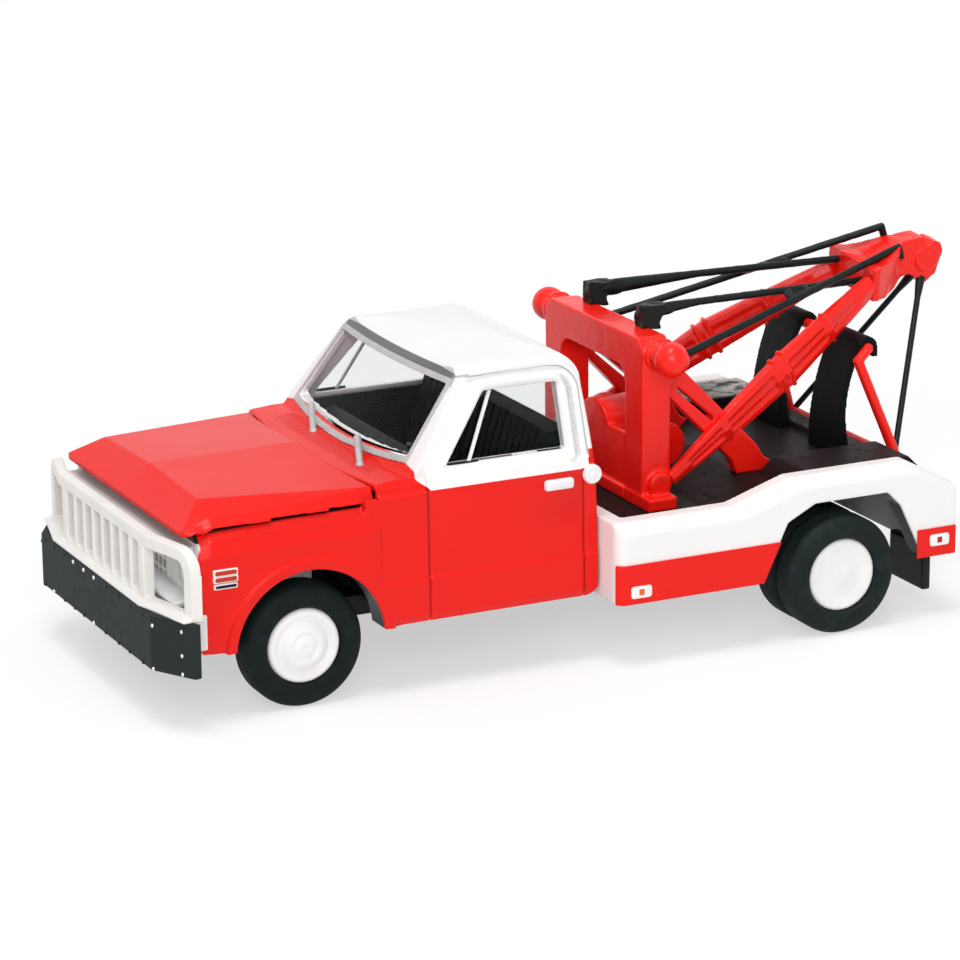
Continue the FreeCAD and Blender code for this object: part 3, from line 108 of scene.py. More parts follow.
class Wire:
    """A value inside a material: sums on it add Math nodes."""

    def __init__(self, recipe: "Tree", socket: bpy.types.NodeSocket) -> None:
        """Wrap one output socket."""
        self.recipe = recipe
        self.socket = socket

    def __add__(self, other: "Number") -> "Wire":
        """Sum."""
        return self.recipe.maths("ADD", self, other)

    __radd__ = __add__

    def __sub__(self, other: "Number") -> "Wire":
        """Difference."""
        return self.recipe.maths("SUBTRACT", self, other)

    def __rsub__(self, other: "Number") -> "Wire":
        """Difference from a number."""
        return self.recipe.maths("SUBTRACT", other, self)

    def __mul__(self, other: "Number") -> "Wire":
        """Product."""
        return self.recipe.maths("MULTIPLY", self, other)

    __rmul__ = __mul__

    def sine(self) -> "Wire":
        """Sine of the value in radians."""
        return self.recipe.maths("SINE", self)

    def size(self) -> "Wire":
        """The value without its sign."""
        return self.recipe.maths("ABSOLUTE", self)

    def ease(self, low: float, high: float) -> "Wire":
        """Smooth step from 0 at low to 1 at high."""
        node = self.recipe.node("ShaderNodeMapRange", {"interpolation_type": "SMOOTHSTEP"},
                                {"Value": self, "From Min": low, "From Max": high})
        return Wire(self.recipe, node.outputs["Result"])

    def near(self, centre: float, half: float, soft: float = 0.05) -> "Wire":
        """One within a distance of a centre, fading outside it."""
        return (self - centre).size().ease(half + soft, half)

    def within(self, low: float, high: float, soft: float = 0.08) -> "Wire":
        """One between two values, fading outside them."""
        return self.near((low + high) / 2, (high - low) / 2, soft)

    def most(self, other: "Number") -> "Wire":
        """The larger of two values."""
        return self.recipe.maths("MAXIMUM", self, other)

    def root(self) -> "Wire":
        """Square root."""
        return self.recipe.maths("SQRT", self)


Number = Union[Wire, float]


class Tree:
    """The nodes of a material or of the world."""

    def __init__(self, owner: Union[Paint, bpy.types.World]) -> None:
        """Start with no nodes."""
        owner.use_nodes = True
        self.tree = owner.node_tree
        self.tree.nodes.clear()

    def node(self, kind: str, settings: Union[dict, None] = None,
             values: Union[dict, None] = None) -> bpy.types.Node:
        """Add a node.

        Args:
            kind: The node's type.
            settings: Its own settings, set first.
            values: Numbers, colours or wires for its sockets, by name or index.

        Returns:
            The new node.
        """
        made = self.tree.nodes.new(kind)
        for key, value in (settings or {}).items():
            setattr(made, key, value)
        for key, value in (values or {}).items():
            self.plug(made.inputs[key], value)
        return made

    def plug(self, socket: bpy.types.NodeSocket, value: object) -> None:
        """Set a socket to a number or colour, or link a wire to it."""
        if isinstance(value, Wire):
            self.tree.links.new(value.socket, socket)
        elif isinstance(value, tuple) and len(value) == 3 and socket.type == "RGBA":
            socket.default_value = (*value, 1.0)
        else:
            socket.default_value = value

    def maths(self, operation: str, *values: Number) -> Wire:
        """Add a Math node and give its result."""
        made = self.node("ShaderNodeMath", {"operation": operation}, dict(enumerate(values)))
        return Wire(self, made.outputs[0])

    def seen(self) -> Wire:
        """One for what the camera sees, straight on, mirrored or through glass."""
        path = self.node("ShaderNodeLightPath")
        camera, glossy, glass = (Wire(self, path.outputs[f"Is {kind} Ray"])
                                 for kind in ("Camera", "Glossy", "Transmission"))
        return self.maths("MINIMUM", camera + glossy + glass, 1.0)


class Recipe(Tree):
    """One material: its node tree round a principled shader."""

    def __init__(self, name: str) -> None:
        """Start a material with that name."""
        self.material = bpy.data.materials.new(name)
        super().__init__(self.material)
        self.shader = self.node("ShaderNodeBsdfPrincipled")
        surface = Wire(self, self.shader.outputs[0])
        self.output = self.node("ShaderNodeOutputMaterial", None, {"Surface": surface})
        self.edge: Union[Wire, None] = None

    def place(self) -> Wire:
        """Place on the model in millimetres from the front axle."""
        spot = self.node("ShaderNodeTexCoord")
        mapped = self.node("ShaderNodeMapping", None, {
            "Vector": Wire(self, spot.outputs["Object"]), "Scale": (1 / MM, 1 / MM, 1 / MM),
            "Location": (-AXLE_X, 0.0, 0.0)})
        return Wire(self, mapped.outputs[0])

    def split(self, vector: Wire) -> tuple[Wire, Wire, Wire]:
        """The three parts of a vector, one wire each."""
        made = self.node("ShaderNodeSeparateXYZ", None, {0: vector})
        return tuple(Wire(self, one) for one in made.outputs)

    def axes(self) -> tuple[Wire, Wire, Wire]:
        """The three distances of the place."""
        return self.split(self.place())

    def facing(self) -> tuple[Wire, Wire, Wire]:
        """The surface's own direction on the model."""
        return self.split(Wire(self, self.node("ShaderNodeTexCoord").outputs["Normal"]))

    def noise(self, scale: float, detail: float) -> Wire:
        """Soft cloud pattern; scale is in waves per millimetre."""
        values = {"Vector": self.place(), "Scale": scale, "Detail": detail}
        return Wire(self, self.node("ShaderNodeTexNoise", None, values).outputs["Fac"])

    def mix(self, share: Number, low: object, high: object) -> Wire:
        """Blend of two colours."""
        made = self.node("ShaderNodeMix", {"data_type": "RGBA"}, {0: share, 6: low, 7: high})
        return Wire(self, made.outputs[2])

    def rounded(self, radius: float) -> None:
        """Soften the look of hard edges by a radius in millimetres, if there is one."""
        if radius:
            made = self.node("ShaderNodeBevel", {"samples": 4}, {"Radius": radius * MM})
            self.edge = Wire(self, made.outputs[0])
            self.set(Normal=self.edge)

    def relief(self, height: Wire) -> None:
        """Raise the surface by a height in millimetres, over what shapes it already."""
        values = {"Height": height, "Distance": MM, "Strength": 1.0}
        if self.edge:
            values["Normal"] = self.edge
        self.edge = Wire(self, self.node("ShaderNodeBump", None, values).outputs[0])
        self.set(Normal=self.edge)

    def set(self, **values: object) -> None:
        """Set the shader's sockets; underscores stand for spaces."""
        for key, value in values.items():
            self.plug(self.shader.inputs[key.replace("_", " ")], value)


def shade(colour: Colour, share: float) -> Colour:
    """The colour made lighter or darker by a share."""
    return tuple(min(1.0, part * share) for part in colour)


@dataclass(frozen=True)
class Enamel:
    """Sprayed enamel: even colour, fine orange peel and a gloss coat."""

    name: str
    colour: Colour
    roughness: float = 0.3
    coat: float = 0.08
    peel: float = 0.0012
    specular: float = 0.16

    def start(self) -> Recipe:
        """The paint without its colour."""
        recipe = Recipe(self.name)
        cloud = recipe.noise(0.11, 3.0)
        recipe.set(Roughness=self.roughness + cloud * 0.1, Coat_Roughness=0.12, Coat_Weight=self.coat,
                   Specular_IOR_Level=self.specular)
        recipe.relief(recipe.noise(2.6, 2.0) * self.peel * 2 + recipe.noise(0.35, 2.0) * self.peel * 9)
        return recipe

    def tone(self, recipe: Recipe, colour: Colour) -> Wire:
        """A colour with the slight clouds of a sprayed coat."""
        return recipe.mix(recipe.noise(0.16, 3.0), shade(colour, 0.95), shade(colour, 1.04))

    def make(self) -> Paint:
        """Build the material."""
        recipe = self.start()
        recipe.set(Base_Color=self.tone(recipe, self.colour))
        return recipe.material


@dataclass(frozen=True)
class CabPaint(Enamel):
    """Red lower body, white roof and door tops, silver header, painted shade inside and fine cowl louvres."""

    white: Colour = (0.84, 0.84, 0.83)
    silver: Colour = (0.17, 0.167, 0.165)
    header_top: Colour = (0.095, 0.093, 0.093)
    nose_silver: Colour = (0.62, 0.62, 0.61)
    seam_shade_red: Colour = (0.16, 0.002, 0.002)
    channel_shade_grey: Colour = (0.36, 0.36, 0.355)
    groove_shade_grey: Colour = (0.10, 0.10, 0.10)
    inside_shade: Colour = (0.006, 0.009, 0.010)
    inside_light: Colour = (0.92, 0.86, 0.88)
    belt_z: float = 18.45
    pillar_x: float = -11.2
    corner: Point = (-25.9, 25.3)
    nose_x: float = 9.62

    def inside(self, recipe: Recipe, x: Wire, y: Wire, z: Wire) -> Wire:
        """One on the faces that look into the cab, the engine bay and the wheel wells, where shade is
        painted.
        """
        across, sideways, upward = recipe.facing()
        side = y.size()
        wall = (y * sideways).ease(-2.0, -5.0)
        ceiling = upward.ease(-0.35, -0.6) * z.ease(21.5, 22.5)
        back = across.ease(0.4, 0.6) * x.ease(-25.2, -25.6) * side.ease(13.4, 13.2)
        floor = side.ease(14.5, 14.3) * z.ease(18.9, 18.8) * x.within(-27.8, 8.9)
        off_x, off_z = x - ARCH[0], z - ARCH[1]
        well_shade = (off_x * off_x + off_z * off_z).root().ease(7.6, 7.45)
        well_shade = well_shade.most(x.within(-8.9, 7.6) * z.ease(9.6, 9.4)) * side.ease(15.5, 15.35)
        return wall.most(ceiling).most(back).most(floor).most(well_shade)

    def two_tone(self, recipe: Recipe, x: Wire, side: Wire, z: Wire) -> Wire:
        """Red with painted shade in the door seams below the belt line, white on the door tops and the roof
        above it.
        """
        ahead = (x + z.ease(19.6, 18.3) * 1.2 - self.pillar_x).ease(0.05, -0.05)
        above = z.ease(self.belt_z - 0.04, self.belt_z + 0.04)
        rear = (x + 28.2).ease(0.0, -0.05) * z.ease(20.2, 20.1)
        pillar = (1 - (1 - ahead) * z.ease(20.9, 20.7)) * (1 - rear)
        red = self.tone(recipe, self.colour)
        # Painted shade: a darker red line in each pressed-in door seam.
        for seam_x in DOOR_SEAMS:
            seam = x.near(seam_x, 0.05, 0.09) * z.ease(6.6, 6.8) * side.ease(14.5, 14.7)
            red = recipe.mix(seam * 0.6, red, self.seam_shade_red)
        return recipe.mix(above * pillar, red, self.tone(recipe, self.white))

    def frame_lines(self, recipe: Recipe, paint: Wire, x: Wire, side: Wire, z: Wire) -> Wire:
        """Painted shade: the grey band in the channel and the thin dark groove line that run round the door
        window's frame.
        """
        back_x = (self.corner[0] - x).most(0.0)
        up_z = (z - self.corner[1]).most(0.0)
        reach = (back_x * back_x + up_z * up_z).root()
        sides = side.ease(11.4, 11.7) * z.ease(19.4, 19.9)
        speckle = recipe.noise(6.0, 2.0).ease(0.1, 0.8)
        # Painted shade in the channel between the frame and the drip rail, speckled, strongest behind the
        # window's rear corner.
        channel_shade = reach.near(1.38, 0.22, 0.2) * sides * (0.12 + back_x.ease(0.3, 0.9) * 0.88)
        # Painted shade: a thin dark line in the groove.
        groove = reach.near(2.28, 0.03, 0.09) * sides
        paint = recipe.mix(channel_shade * speckle * 0.7, paint, self.channel_shade_grey)
        return recipe.mix(groove * 0.55, paint, self.groove_shade_grey)

    def header(self, x: Wire, y: Wire, z: Wire) -> Wire:
        """One on the silver strip over the windshield."""
        glass_x = -10.22 - (z - 20.55) * 0.748 - y * y * 0.00514
        on_roof = (x + y * y * 0.0026 + 16.25).ease(-0.05, 0.05) * z.ease(26.7, 26.8)
        on_glass = (x - glass_x).ease(-0.35, -0.2) * z.ease(26.75, 26.85)
        return on_roof.most(on_glass) * y.size().ease(12.4, 11.2)

    def make(self) -> Paint:
        """Build the material."""
        recipe = self.start()
        x, y, z = recipe.axes()
        side = y.size()
        paint = self.frame_lines(recipe, self.two_tone(recipe, x, side, z), x, side, z)
        header = self.header(x, y, z)
        band = recipe.mix(z.ease(27.3, 28.3), self.silver, self.header_top)
        paint = recipe.mix(header, paint, recipe.mix(recipe.noise(0.9, 3.0), shade(self.silver, 0.85), band))
        # Silver strip on the nose, with painted shade above it under the hood's lip.
        nose = (x - self.nose_x).ease(-0.03, 0.03) * side.ease(15.0, 14.85)
        paint = recipe.mix(nose, paint, recipe.mix(z.ease(16.4, 16.5), self.nose_silver, self.inside_shade))
        # Painted shade: dark on the inner faces below the window line; the inside walls' own light colour
        # above it.
        inner = recipe.mix(z.ease(19.7, 20.1), self.inside_shade, self.inside_light)
        paint = recipe.mix(self.inside(recipe, x, y, z) * (1 - nose), paint, inner)
        recipe.set(Base_Color=paint, Metallic=header * 0.35)
        cowl = z.ease(19.2, 19.3) * z.ease(20.2, 20.0) * side.ease(10.8, 10.4) * x.near(-9.2, 1.2, 0.15)
        recipe.relief((x * 15.7).sine() * cowl * 0.04)
        return recipe.material


@dataclass(frozen=True)
class BedPaint(Enamel):
    """White bed with painted shade in its wheel wells."""

    well_shade: Colour = (0.006, 0.009, 0.009)

    def make(self) -> Paint:
        """Build the material."""
        recipe = self.start()
        x, y, z = recipe.axes()
        # Painted shade: dark inside the wheel wells.
        well_shade = y.size().ease(18.75, 18.6) * z.ease(13.15, 13.0) * x.within(-62.3, -43.9)
        recipe.set(Base_Color=recipe.mix(well_shade, self.tone(recipe, self.colour), self.well_shade))
        return recipe.material


@dataclass(frozen=True)
class Plastic:
    """Moulded plastic: low lumps, fine grain, faint scuffs."""

    name: str
    colour: Colour
    roughness: float = 0.35
    lumps: float = 0.02
    grain: float = 0.002
    coat: float = 0.0
    edge: float = 0.0
    scuffs: float = 0.15
    specular: float = 0.2

    def gleaming(self, recipe: Recipe, colour: Wire) -> Wire:
        """The colour with its painted reflections, if it has any."""
        return colour

    def make(self) -> Paint:
        """Build the material."""
        recipe = Recipe(self.name)
        recipe.rounded(self.edge)
        cloud = recipe.noise(0.3, 3.0)
        scuff = recipe.noise(1.1, 5.0).ease(0.52, 0.75)
        colour = recipe.mix(cloud, shade(self.colour, 0.88), shade(self.colour, 1.08))
        colour = self.gleaming(recipe, recipe.mix(scuff * self.scuffs, colour, shade(self.colour, 1.6)))
        recipe.set(Base_Color=colour,
                   Roughness=self.roughness + cloud * 0.12 + scuff * self.scuffs * 0.6,
                   Coat_Weight=self.coat, Coat_Roughness=0.1, Specular_IOR_Level=self.specular)
        recipe.relief(recipe.noise(0.55, 1.0) * self.lumps + recipe.noise(6.0, 2.0) * self.grain)
        return recipe.material


@dataclass(frozen=True)
class DeckPlastic(Plastic):
    """Black deck with a painted reflection on top of its right wheel box, lighter towards the rear."""

    grey: Colour = (0.24, 0.23, 0.22)

    def gleaming(self, recipe: Recipe, colour: Wire) -> Wire:
        """The colour with a painted reflection on the top of the right wheel box."""
        x, y, z = recipe.axes()
        # Painted reflection: grey on the box's top face, in patches, lighter towards the rear.
        sheen_patch = y.ease(-10.2, -10.7) * z.ease(14.9, 15.15) * recipe.noise(0.8, 4.0).ease(0.34, 0.6)
        grey = recipe.mix(x.ease(-56.0, -60.0), self.grey, shade(self.grey, 2.2))
        return recipe.mix(sheen_patch * 0.8, colour, grey)


@dataclass(frozen=True)
class Metal:
    """Silver paint or steel with faint flecks."""

    name: str
    colour: Colour
    roughness: float = 0.35
    metallic: float = 0.85
    edge: float = 0.06

    def make(self) -> Paint:
        """Build the material."""
        recipe = Recipe(self.name)
        recipe.rounded(self.edge)
        fleck = recipe.noise(7.0, 3.0)
        cloud = recipe.noise(0.6, 2.0)
        recipe.set(Base_Color=recipe.mix(cloud, shade(self.colour, 0.8), shade(self.colour, 1.12)),
                   Roughness=self.roughness + fleck * 0.15, Metallic=self.metallic, Specular_IOR_Level=0.3)
        recipe.relief(fleck * 0.003 + cloud * 0.01)
        return recipe.material


@dataclass(frozen=True)
class Rubber:
    """Tyre rubber: matt black with dust rings round the axle."""

    name: str
    colour: Colour = (0.005, 0.009, 0.009)
    axle_x: float = 0.0

    def make(self) -> Paint:
        """Build the material."""
        recipe = Recipe(self.name)
        x, _, z = recipe.axes()
        off_x, off_z = x - self.axle_x, z - WHEEL_RADIUS
        reach = (off_x * off_x + off_z * off_z).root()
        ring = (reach * 24.0).sine()
        dust = recipe.noise(0.8, 4.0)
        tread = reach.ease(5.35, 5.6) * 0.3
        dusty = dust.ease(0.4, 0.8) * 0.6 + tread
        recipe.set(Base_Color=recipe.mix(dusty, self.colour, shade(self.colour, 2.2)),
                   Roughness=0.5 + dust * 0.2, Specular_IOR_Level=0.12)
        recipe.relief(ring * 0.003 * reach.ease(5.2, 4.9) + recipe.noise(5.0, 3.0) * 0.006)
        return recipe.material


@dataclass(frozen=True)
class Clear:
    """Clear moulded plastic with a slight ripple."""

    name: str
    colour: Colour = (0.93, 0.94, 0.94)
    ripple: float = 0.004

    def make(self) -> Paint:
        """Build the material."""
        recipe = Recipe(self.name)
        haze = recipe.noise(0.5, 2.0)
        recipe.set(Base_Color=recipe.mix(haze, shade(self.colour, 0.97), self.colour),
                   Roughness=0.02 + haze * 0.04, Transmission_Weight=1.0, IOR=1.07)
        recipe.relief(recipe.noise(0.35, 1.0) * self.ripple)
        return recipe.material


class PaintShop:
    """Every finish on the model, made once."""

    def __init__(self) -> None:
        """Make the materials."""
        red, white = (0.80, 0.010, 0.006), (0.86, 0.86, 0.85)
        glossy = {"roughness": 0.26, "coat": 0.22, "scuffs": 0.0}
        touched_in = {"lumps": 0.005, "scuffs": 0.1}
        self.red = Enamel("red_enamel", red).make()
        self.cab = CabPaint("cab_two_tone", red).make()
        self.bed = BedPaint("white_enamel", white, 0.36).make()
        self.silver = Metal("silver_paint", (0.52, 0.515, 0.51), 0.42, 0.3).make()
        self.steel = Metal("axle_steel", (0.6, 0.59, 0.57), 0.3, 1.0).make()
        self.bright = Metal("bright_metal", (0.85, 0.85, 0.84), 0.22, 0.6, 0.0).make()
        self.clear = Clear("clear_plastic").make()
        self.lens = Plastic("lamp_lens", (0.72, 0.73, 0.73), 0.15, 0.01, coat=0.3, scuffs=0.0).make()
        self.grille = Metal("grille_silver", (0.78, 0.78, 0.77), 0.4, 0.2, 0.0).make()
        self.black = Plastic("black_plastic", (0.005, 0.008, 0.008), 0.32, 0.01).make()
        self.pad = Plastic("matt_black_plastic", (0.022, 0.028, 0.029), 0.5, 0.005,
                           scuffs=0.3, specular=0.08).make()
        self.cloth = Plastic("seat_plastic", (0.005, 0.009, 0.010), 0.5, edge=0.1,
                             scuffs=0.3, specular=0.1).make()
        self.deck = DeckPlastic("deck_black_plastic", (0.009, 0.0055, 0.0055), 0.45, 0.004,
                                scuffs=0.4, specular=0.1).make()
        self.strap = Plastic("strap_rubber", (0.002, 0.004, 0.004), 0.45, specular=0.1).make()
        self.red_plastic = Plastic("red_plastic", (0.93, 0.012, 0.006), **glossy).make()
        self.white_plastic = Plastic("white_plastic", (0.82, 0.80, 0.77), 0.42, 0.01, scuffs=0.0).make()
        self.disc = Plastic("white_disc_plastic", white, 0.3, 0.01, scuffs=0.0).make()
        self.lamp_red = Plastic("lamp_red", (0.45, 0.012, 0.01), edge=0.05, **glossy).make()
        self.amber = Plastic("amber_paint", (0.52, 0.035, 0.012), 0.3, **touched_in).make()
        self.orange = Plastic("orange_paint", (0.83, 0.13, 0.01), **touched_in).make()
        self.front_rubber = Rubber("front_tyre_rubber").make()
        self.rear_rubber = Rubber("rear_tyre_rubber", (0.009, 0.014, 0.014), REAR_AXLE_X).make()


# Modelling steps


def rise(distance: np.ndarray, width: float) -> np.ndarray:
    """Ramp from 0 at no distance to 1 at a width."""
    return np.clip(distance / width, 0, 1)


class Bench:
    """Modelling by hand in millimetres from the front axle; finished pieces go to the frame in metres."""

    def __init__(self, paints: PaintShop) -> None:
        """Keep the paints at hand."""
        self.paints = paints
        self.count = 0

    @staticmethod
    def only(piece: Piece) -> None:
        """Select one piece alone and make it active."""
        if bpy.context.object and bpy.context.object.mode != "OBJECT":
            bpy.ops.object.mode_set(mode="OBJECT")
        bpy.ops.object.select_all(action="DESELECT")
        piece.select_set(True)
        bpy.context.view_layer.objects.active = piece

    def settle(self, name: str) -> Piece:
        """Name the active primitive and put its place into its mesh."""
        piece = bpy.context.object
        piece.name = name
        self.only(piece)
        bpy.ops.object.transform_apply(location=True, rotation=True, scale=True)
        return piece

    def block(self, name: str, low: Point, high: Point) -> Piece:
        """Box between two corners."""
        bpy.ops.object.select_all(action="DESELECT")
        middle = [(a + b) / 2 for a, b in zip(low, high)]
        bpy.ops.mesh.primitive_cube_add(size=1, location=middle, scale=[b - a for a, b in zip(low, high)])
        return self.settle(name)

    def dome(self, name: str, centre: Point, radii: Point) -> Piece:
        """Rounded button with its own radius along each axis."""
        bpy.ops.object.select_all(action="DESELECT")
        bpy.ops.mesh.primitive_uv_sphere_add(segments=12, ring_count=8, location=centre, scale=radii)
        return self.settle(name)

    def profile(self, name: str, points: Sequence[Point], closed: bool) -> Piece:
        """A line of vertices through the points, left open for editing."""
        bpy.ops.object.select_all(action="DESELECT")
        bpy.ops.mesh.primitive_plane_add(size=1.0, location=(0, 0, 0))
        piece = bpy.context.object
        piece.name = name
        bpy.ops.object.mode_set(mode="EDIT")
        bpy.ops.mesh.select_all(action="SELECT")
        bpy.ops.mesh.merge(type="CENTER")
        bpy.ops.transform.translate(value=points[0])
        for before, after in zip(points[:-1], points[1:]):
            step = Vector(after) - Vector(before)
            bpy.ops.mesh.extrude_region_move(TRANSFORM_OT_translate={"value": step})
        if closed:
            bpy.ops.mesh.select_all(action="SELECT")
            bpy.ops.mesh.edge_face_add()
        return piece

    @staticmethod
    def outward() -> None:
        """Turn every face of the edited mesh outward and leave edit mode."""
        bpy.ops.mesh.select_all(action="SELECT")
        bpy.ops.mesh.normals_make_consistent(inside=False)
        bpy.ops.object.mode_set(mode="OBJECT")

    def plate(self, name: str, points: Sequence[Point], depth: Point) -> Piece:
        """Flat outline given thickness along a direction."""
        piece = self.profile(name, points, True)
        bpy.ops.mesh.extrude_region_move(TRANSFORM_OT_translate={"value": depth})
        self.outward()
        return piece

    def tablet(self, name: str, centre: Point, half: Point, corner: float, depth: float) -> Piece:
        """Flat plate with round corners that stands out from the truck's left side.

        Args:
            name: The new piece's name.
            centre: Middle of its inner face.
            half: Half its length and half its height.
            corner: Radius of its corners.
            depth: Its thickness.

        Returns:
            The plate, with its outer edge softened.
        """
        points = []
        for quarter, (ahead, upward) in enumerate(((1, 1), (-1, 1), (-1, -1), (1, -1))):
            for step in range(5):
                angle = math.pi / 2 * (quarter + step / 4)
                points.append((centre[0] + ahead * (half[0] - corner) + corner * math.cos(angle), centre[1],
                               centre[2] + upward * (half[1] - corner) + corner * math.sin(angle)))
        return self.bevel(self.plate(name, points, (0.0, depth, 0.0)), 0.04, 2)

    def lathe(self, name: str, points: Sequence[Point], axle: Point, sides: int = 96) -> Piece:
        """Round piece about an axle along Y, from (y, radius) points of a closed profile."""
        x, _, z = axle
        line = [(x, y, z + radius) for y, radius in points]
        piece = self.profile(name, line + line[:1], False)
        bpy.ops.mesh.select_all(action="SELECT")
        bpy.ops.mesh.spin(steps=sides, angle=2 * math.pi, center=(x, 0, z), axis=(0, 1, 0))
        bpy.ops.mesh.select_all(action="SELECT")
        bpy.ops.mesh.remove_doubles(threshold=0.001)
        self.outward()
        return piece

    def tube(self, name: str, points: Sequence[Point], radius: float, sides: int = 3,
             swell: Sequence[float] = ()) -> Piece:
        """Round line through control points, as a mesh; swell scales the radius at each point."""
        curve = bpy.data.curves.new(name, "CURVE")
        curve.dimensions = "3D"
        curve.bevel_depth = radius
        curve.bevel_resolution = sides
        curve.use_fill_caps = True
        curve.resolution_u = 8
        line = curve.splines.new("NURBS")
        line.points.add(len(points) - 1)
        for index, (spot, point) in enumerate(zip(line.points, points)):
            spot.co = (*point, 1.0)
            if swell:
                spot.radius = swell[index]
        line.order_u = 3
        line.use_endpoint_u = True
        piece = bpy.data.objects.new(name, curve)
        bpy.context.scene.collection.objects.link(piece)
        self.only(piece)
        bpy.ops.object.convert(target="MESH")
        return bpy.context.object

    def copy_of(self, node: str, name: str) -> Piece:
        """Merged copy of a node of the frame, in millimetres."""
        piece = frame["nodes"][node].copy()
        piece.data = frame["nodes"][node].data.copy()
        piece.parent = None
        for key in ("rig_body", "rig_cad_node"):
            del piece[key]
        piece.name = name
        piece.hide_render = False
        piece.hide_viewport = False
        bpy.context.scene.collection.objects.link(piece)
        piece.data.materials.clear()
        piece.data.transform(Matrix.Translation((-AXLE_X, 0, 0)) @ Matrix.Scale(1 / MM, 4))
        self.only(piece)
        bpy.ops.object.mode_set(mode="EDIT")
        bpy.ops.mesh.select_all(action="SELECT")
        bpy.ops.mesh.remove_doubles(threshold=0.0005)
        bpy.ops.object.mode_set(mode="OBJECT")
        return piece

    def modify(self, piece: Piece, kind: str, **settings: object) -> Piece:
        """Add one modifier with its settings and apply it."""
        self.only(piece)
        made = piece.modifiers.new(kind.lower(), kind)
        for key, value in settings.items():
            setattr(made, key, value)
        bpy.ops.object.modifier_apply(modifier=made.name)
        return piece

    def bevel(self, piece: Piece, width: float, segments: int) -> Piece:
        """Round a piece's sharp edges."""
        return self.modify(piece, "BEVEL", width=width, segments=segments, limit_method="ANGLE")

    def sculpt(self, piece: Piece, push: Push) -> None:
        """Move every vertex of a piece by a rule.

        Args:
            piece: The piece in millimetres.
            push: Takes the array of places, one row each, and gives the new ones.
        """
        places = np.empty(len(piece.data.vertices) * 3)
        piece.data.vertices.foreach_get("co", places)
        piece.data.vertices.foreach_set("co", push(places.reshape(-1, 3)).ravel())
        piece.data.update()

    def moulded(self, node: str, name: str, voxel: float, rounds: int, lumps: float = 0.0,
                extras: Sequence[Piece] = (), grain: float = 1.1, push: Union[Push, None] = None,
                most: int = TRIANGLES) -> Piece:
        """Copy of a node with the soft edges and slightly uneven surface of a moulding.

        Args:
            node: The node of the frame.
            name: The new piece's name.
            voxel: Size of the mesh's faces in millimetres.
            rounds: How often it is smoothed.
            lumps: Height of its unevenness in millimetres.
            extras: Pieces that are melted into it.
            grain: Size of the unevenness in millimetres.
            push: Rule that moves its vertices once it is smooth.
            most: How many triangles it may have.

        Returns:
            The piece in millimetres.
        """
        piece = self.copy_of(node, name)
        if extras:
            piece = self.join([piece, *extras], name)
        self.modify(piece, "REMESH", mode="VOXEL", voxel_size=voxel, use_smooth_shade=True)
        self.modify(piece, "SMOOTH", factor=0.5, iterations=rounds)
        if push:
            self.sculpt(piece, push)
        if lumps:
            cloud = bpy.data.textures.new(name + "_lumps", "CLOUDS")
            cloud.noise_scale = grain
            self.modify(piece, "DISPLACE", texture=cloud, strength=lumps, mid_level=0.5)
        triangles = 2 * len(piece.data.polygons)
        if triangles > most:
            self.modify(piece, "DECIMATE", ratio=most / triangles)
        return piece

    def join(self, pieces: Sequence[Piece], name: str) -> Piece:
        """Several pieces as one object."""
        self.only(pieces[0])
        for piece in pieces[1:]:
            piece.select_set(True)
        bpy.ops.object.join()
        pieces[0].name = name
        return pieces[0]

    def twin(self, piece: Piece) -> Piece:
        """Copy on the truck's other side."""
        other = piece.copy()
        other.data = piece.data.copy()
        bpy.context.scene.collection.objects.link(other)
        self.only(other)
        bpy.ops.transform.mirror(constraint_axis=(False, True, False))
        bpy.ops.object.transform_apply(location=True, rotation=True, scale=True)
        bpy.ops.object.mode_set(mode="EDIT")
        self.outward()
        return other

    def done(self, piece: Piece, paint: Paint, slot: Slot, stands_for: Sequence[str] = (),
             body: Body = Body.TRUCK, smooth: float = 35.0) -> None:
        """Move a piece to the frame, paint it and hang it on its body.

        Args:
            piece: The piece in millimetres from the front axle.
            paint: Its material.
            slot: The record's slot for its finish; not used.
            stands_for: Nodes of the frame that it replaces.
            body: The body it moves with.
            smooth: Angle in degrees below which edges are shaded smooth.
        """
        self.only(piece)
        piece.data.transform(Matrix.Scale(MM, 4) @ Matrix.Translation((AXLE_X, 0, 0)))
        bpy.ops.object.shade_smooth_by_angle(angle=math.radians(smooth))
        piece.data.materials.clear()
        piece.data.materials.append(paint)
        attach(piece, body.value)
        for node in stands_for:
            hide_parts(node)
        self.count += 1
        LOG.info("piece %s: %d faces", piece.name, len(piece.data.polygons))

    def both(self, piece: Piece, paint: Paint, slot: Slot, stands_for: Sequence[str] = (),
             body: Body = Body.TRUCK, smooth: float = 35.0) -> None:
        """Finish a piece of the left side and its mirror image as one object."""
        self.done(self.join([piece, self.twin(piece)], piece.name), paint, slot, stands_for, body, smooth)

    def cast(self, node: str, name: str, paint: Paint, slot: Slot, voxel: float, rounds: int,
             body: Body = Body.TRUCK, **how: object) -> None:
        """Mould a node in its softened shape and finish it in that node's place."""
        self.done(self.moulded(node, name, voxel, rounds, **how), paint, slot, [node], body, SHARP)

    def dress(self, node: str, paint: Paint, slot: Slot) -> None:
        """Give a node of the frame its finish."""
        piece = frame["nodes"][node]
        piece.data.materials.clear()
        piece.data.materials.append(paint)
        LOG.info("node %s painted %s", node, paint.name)


# Sub-assemblies


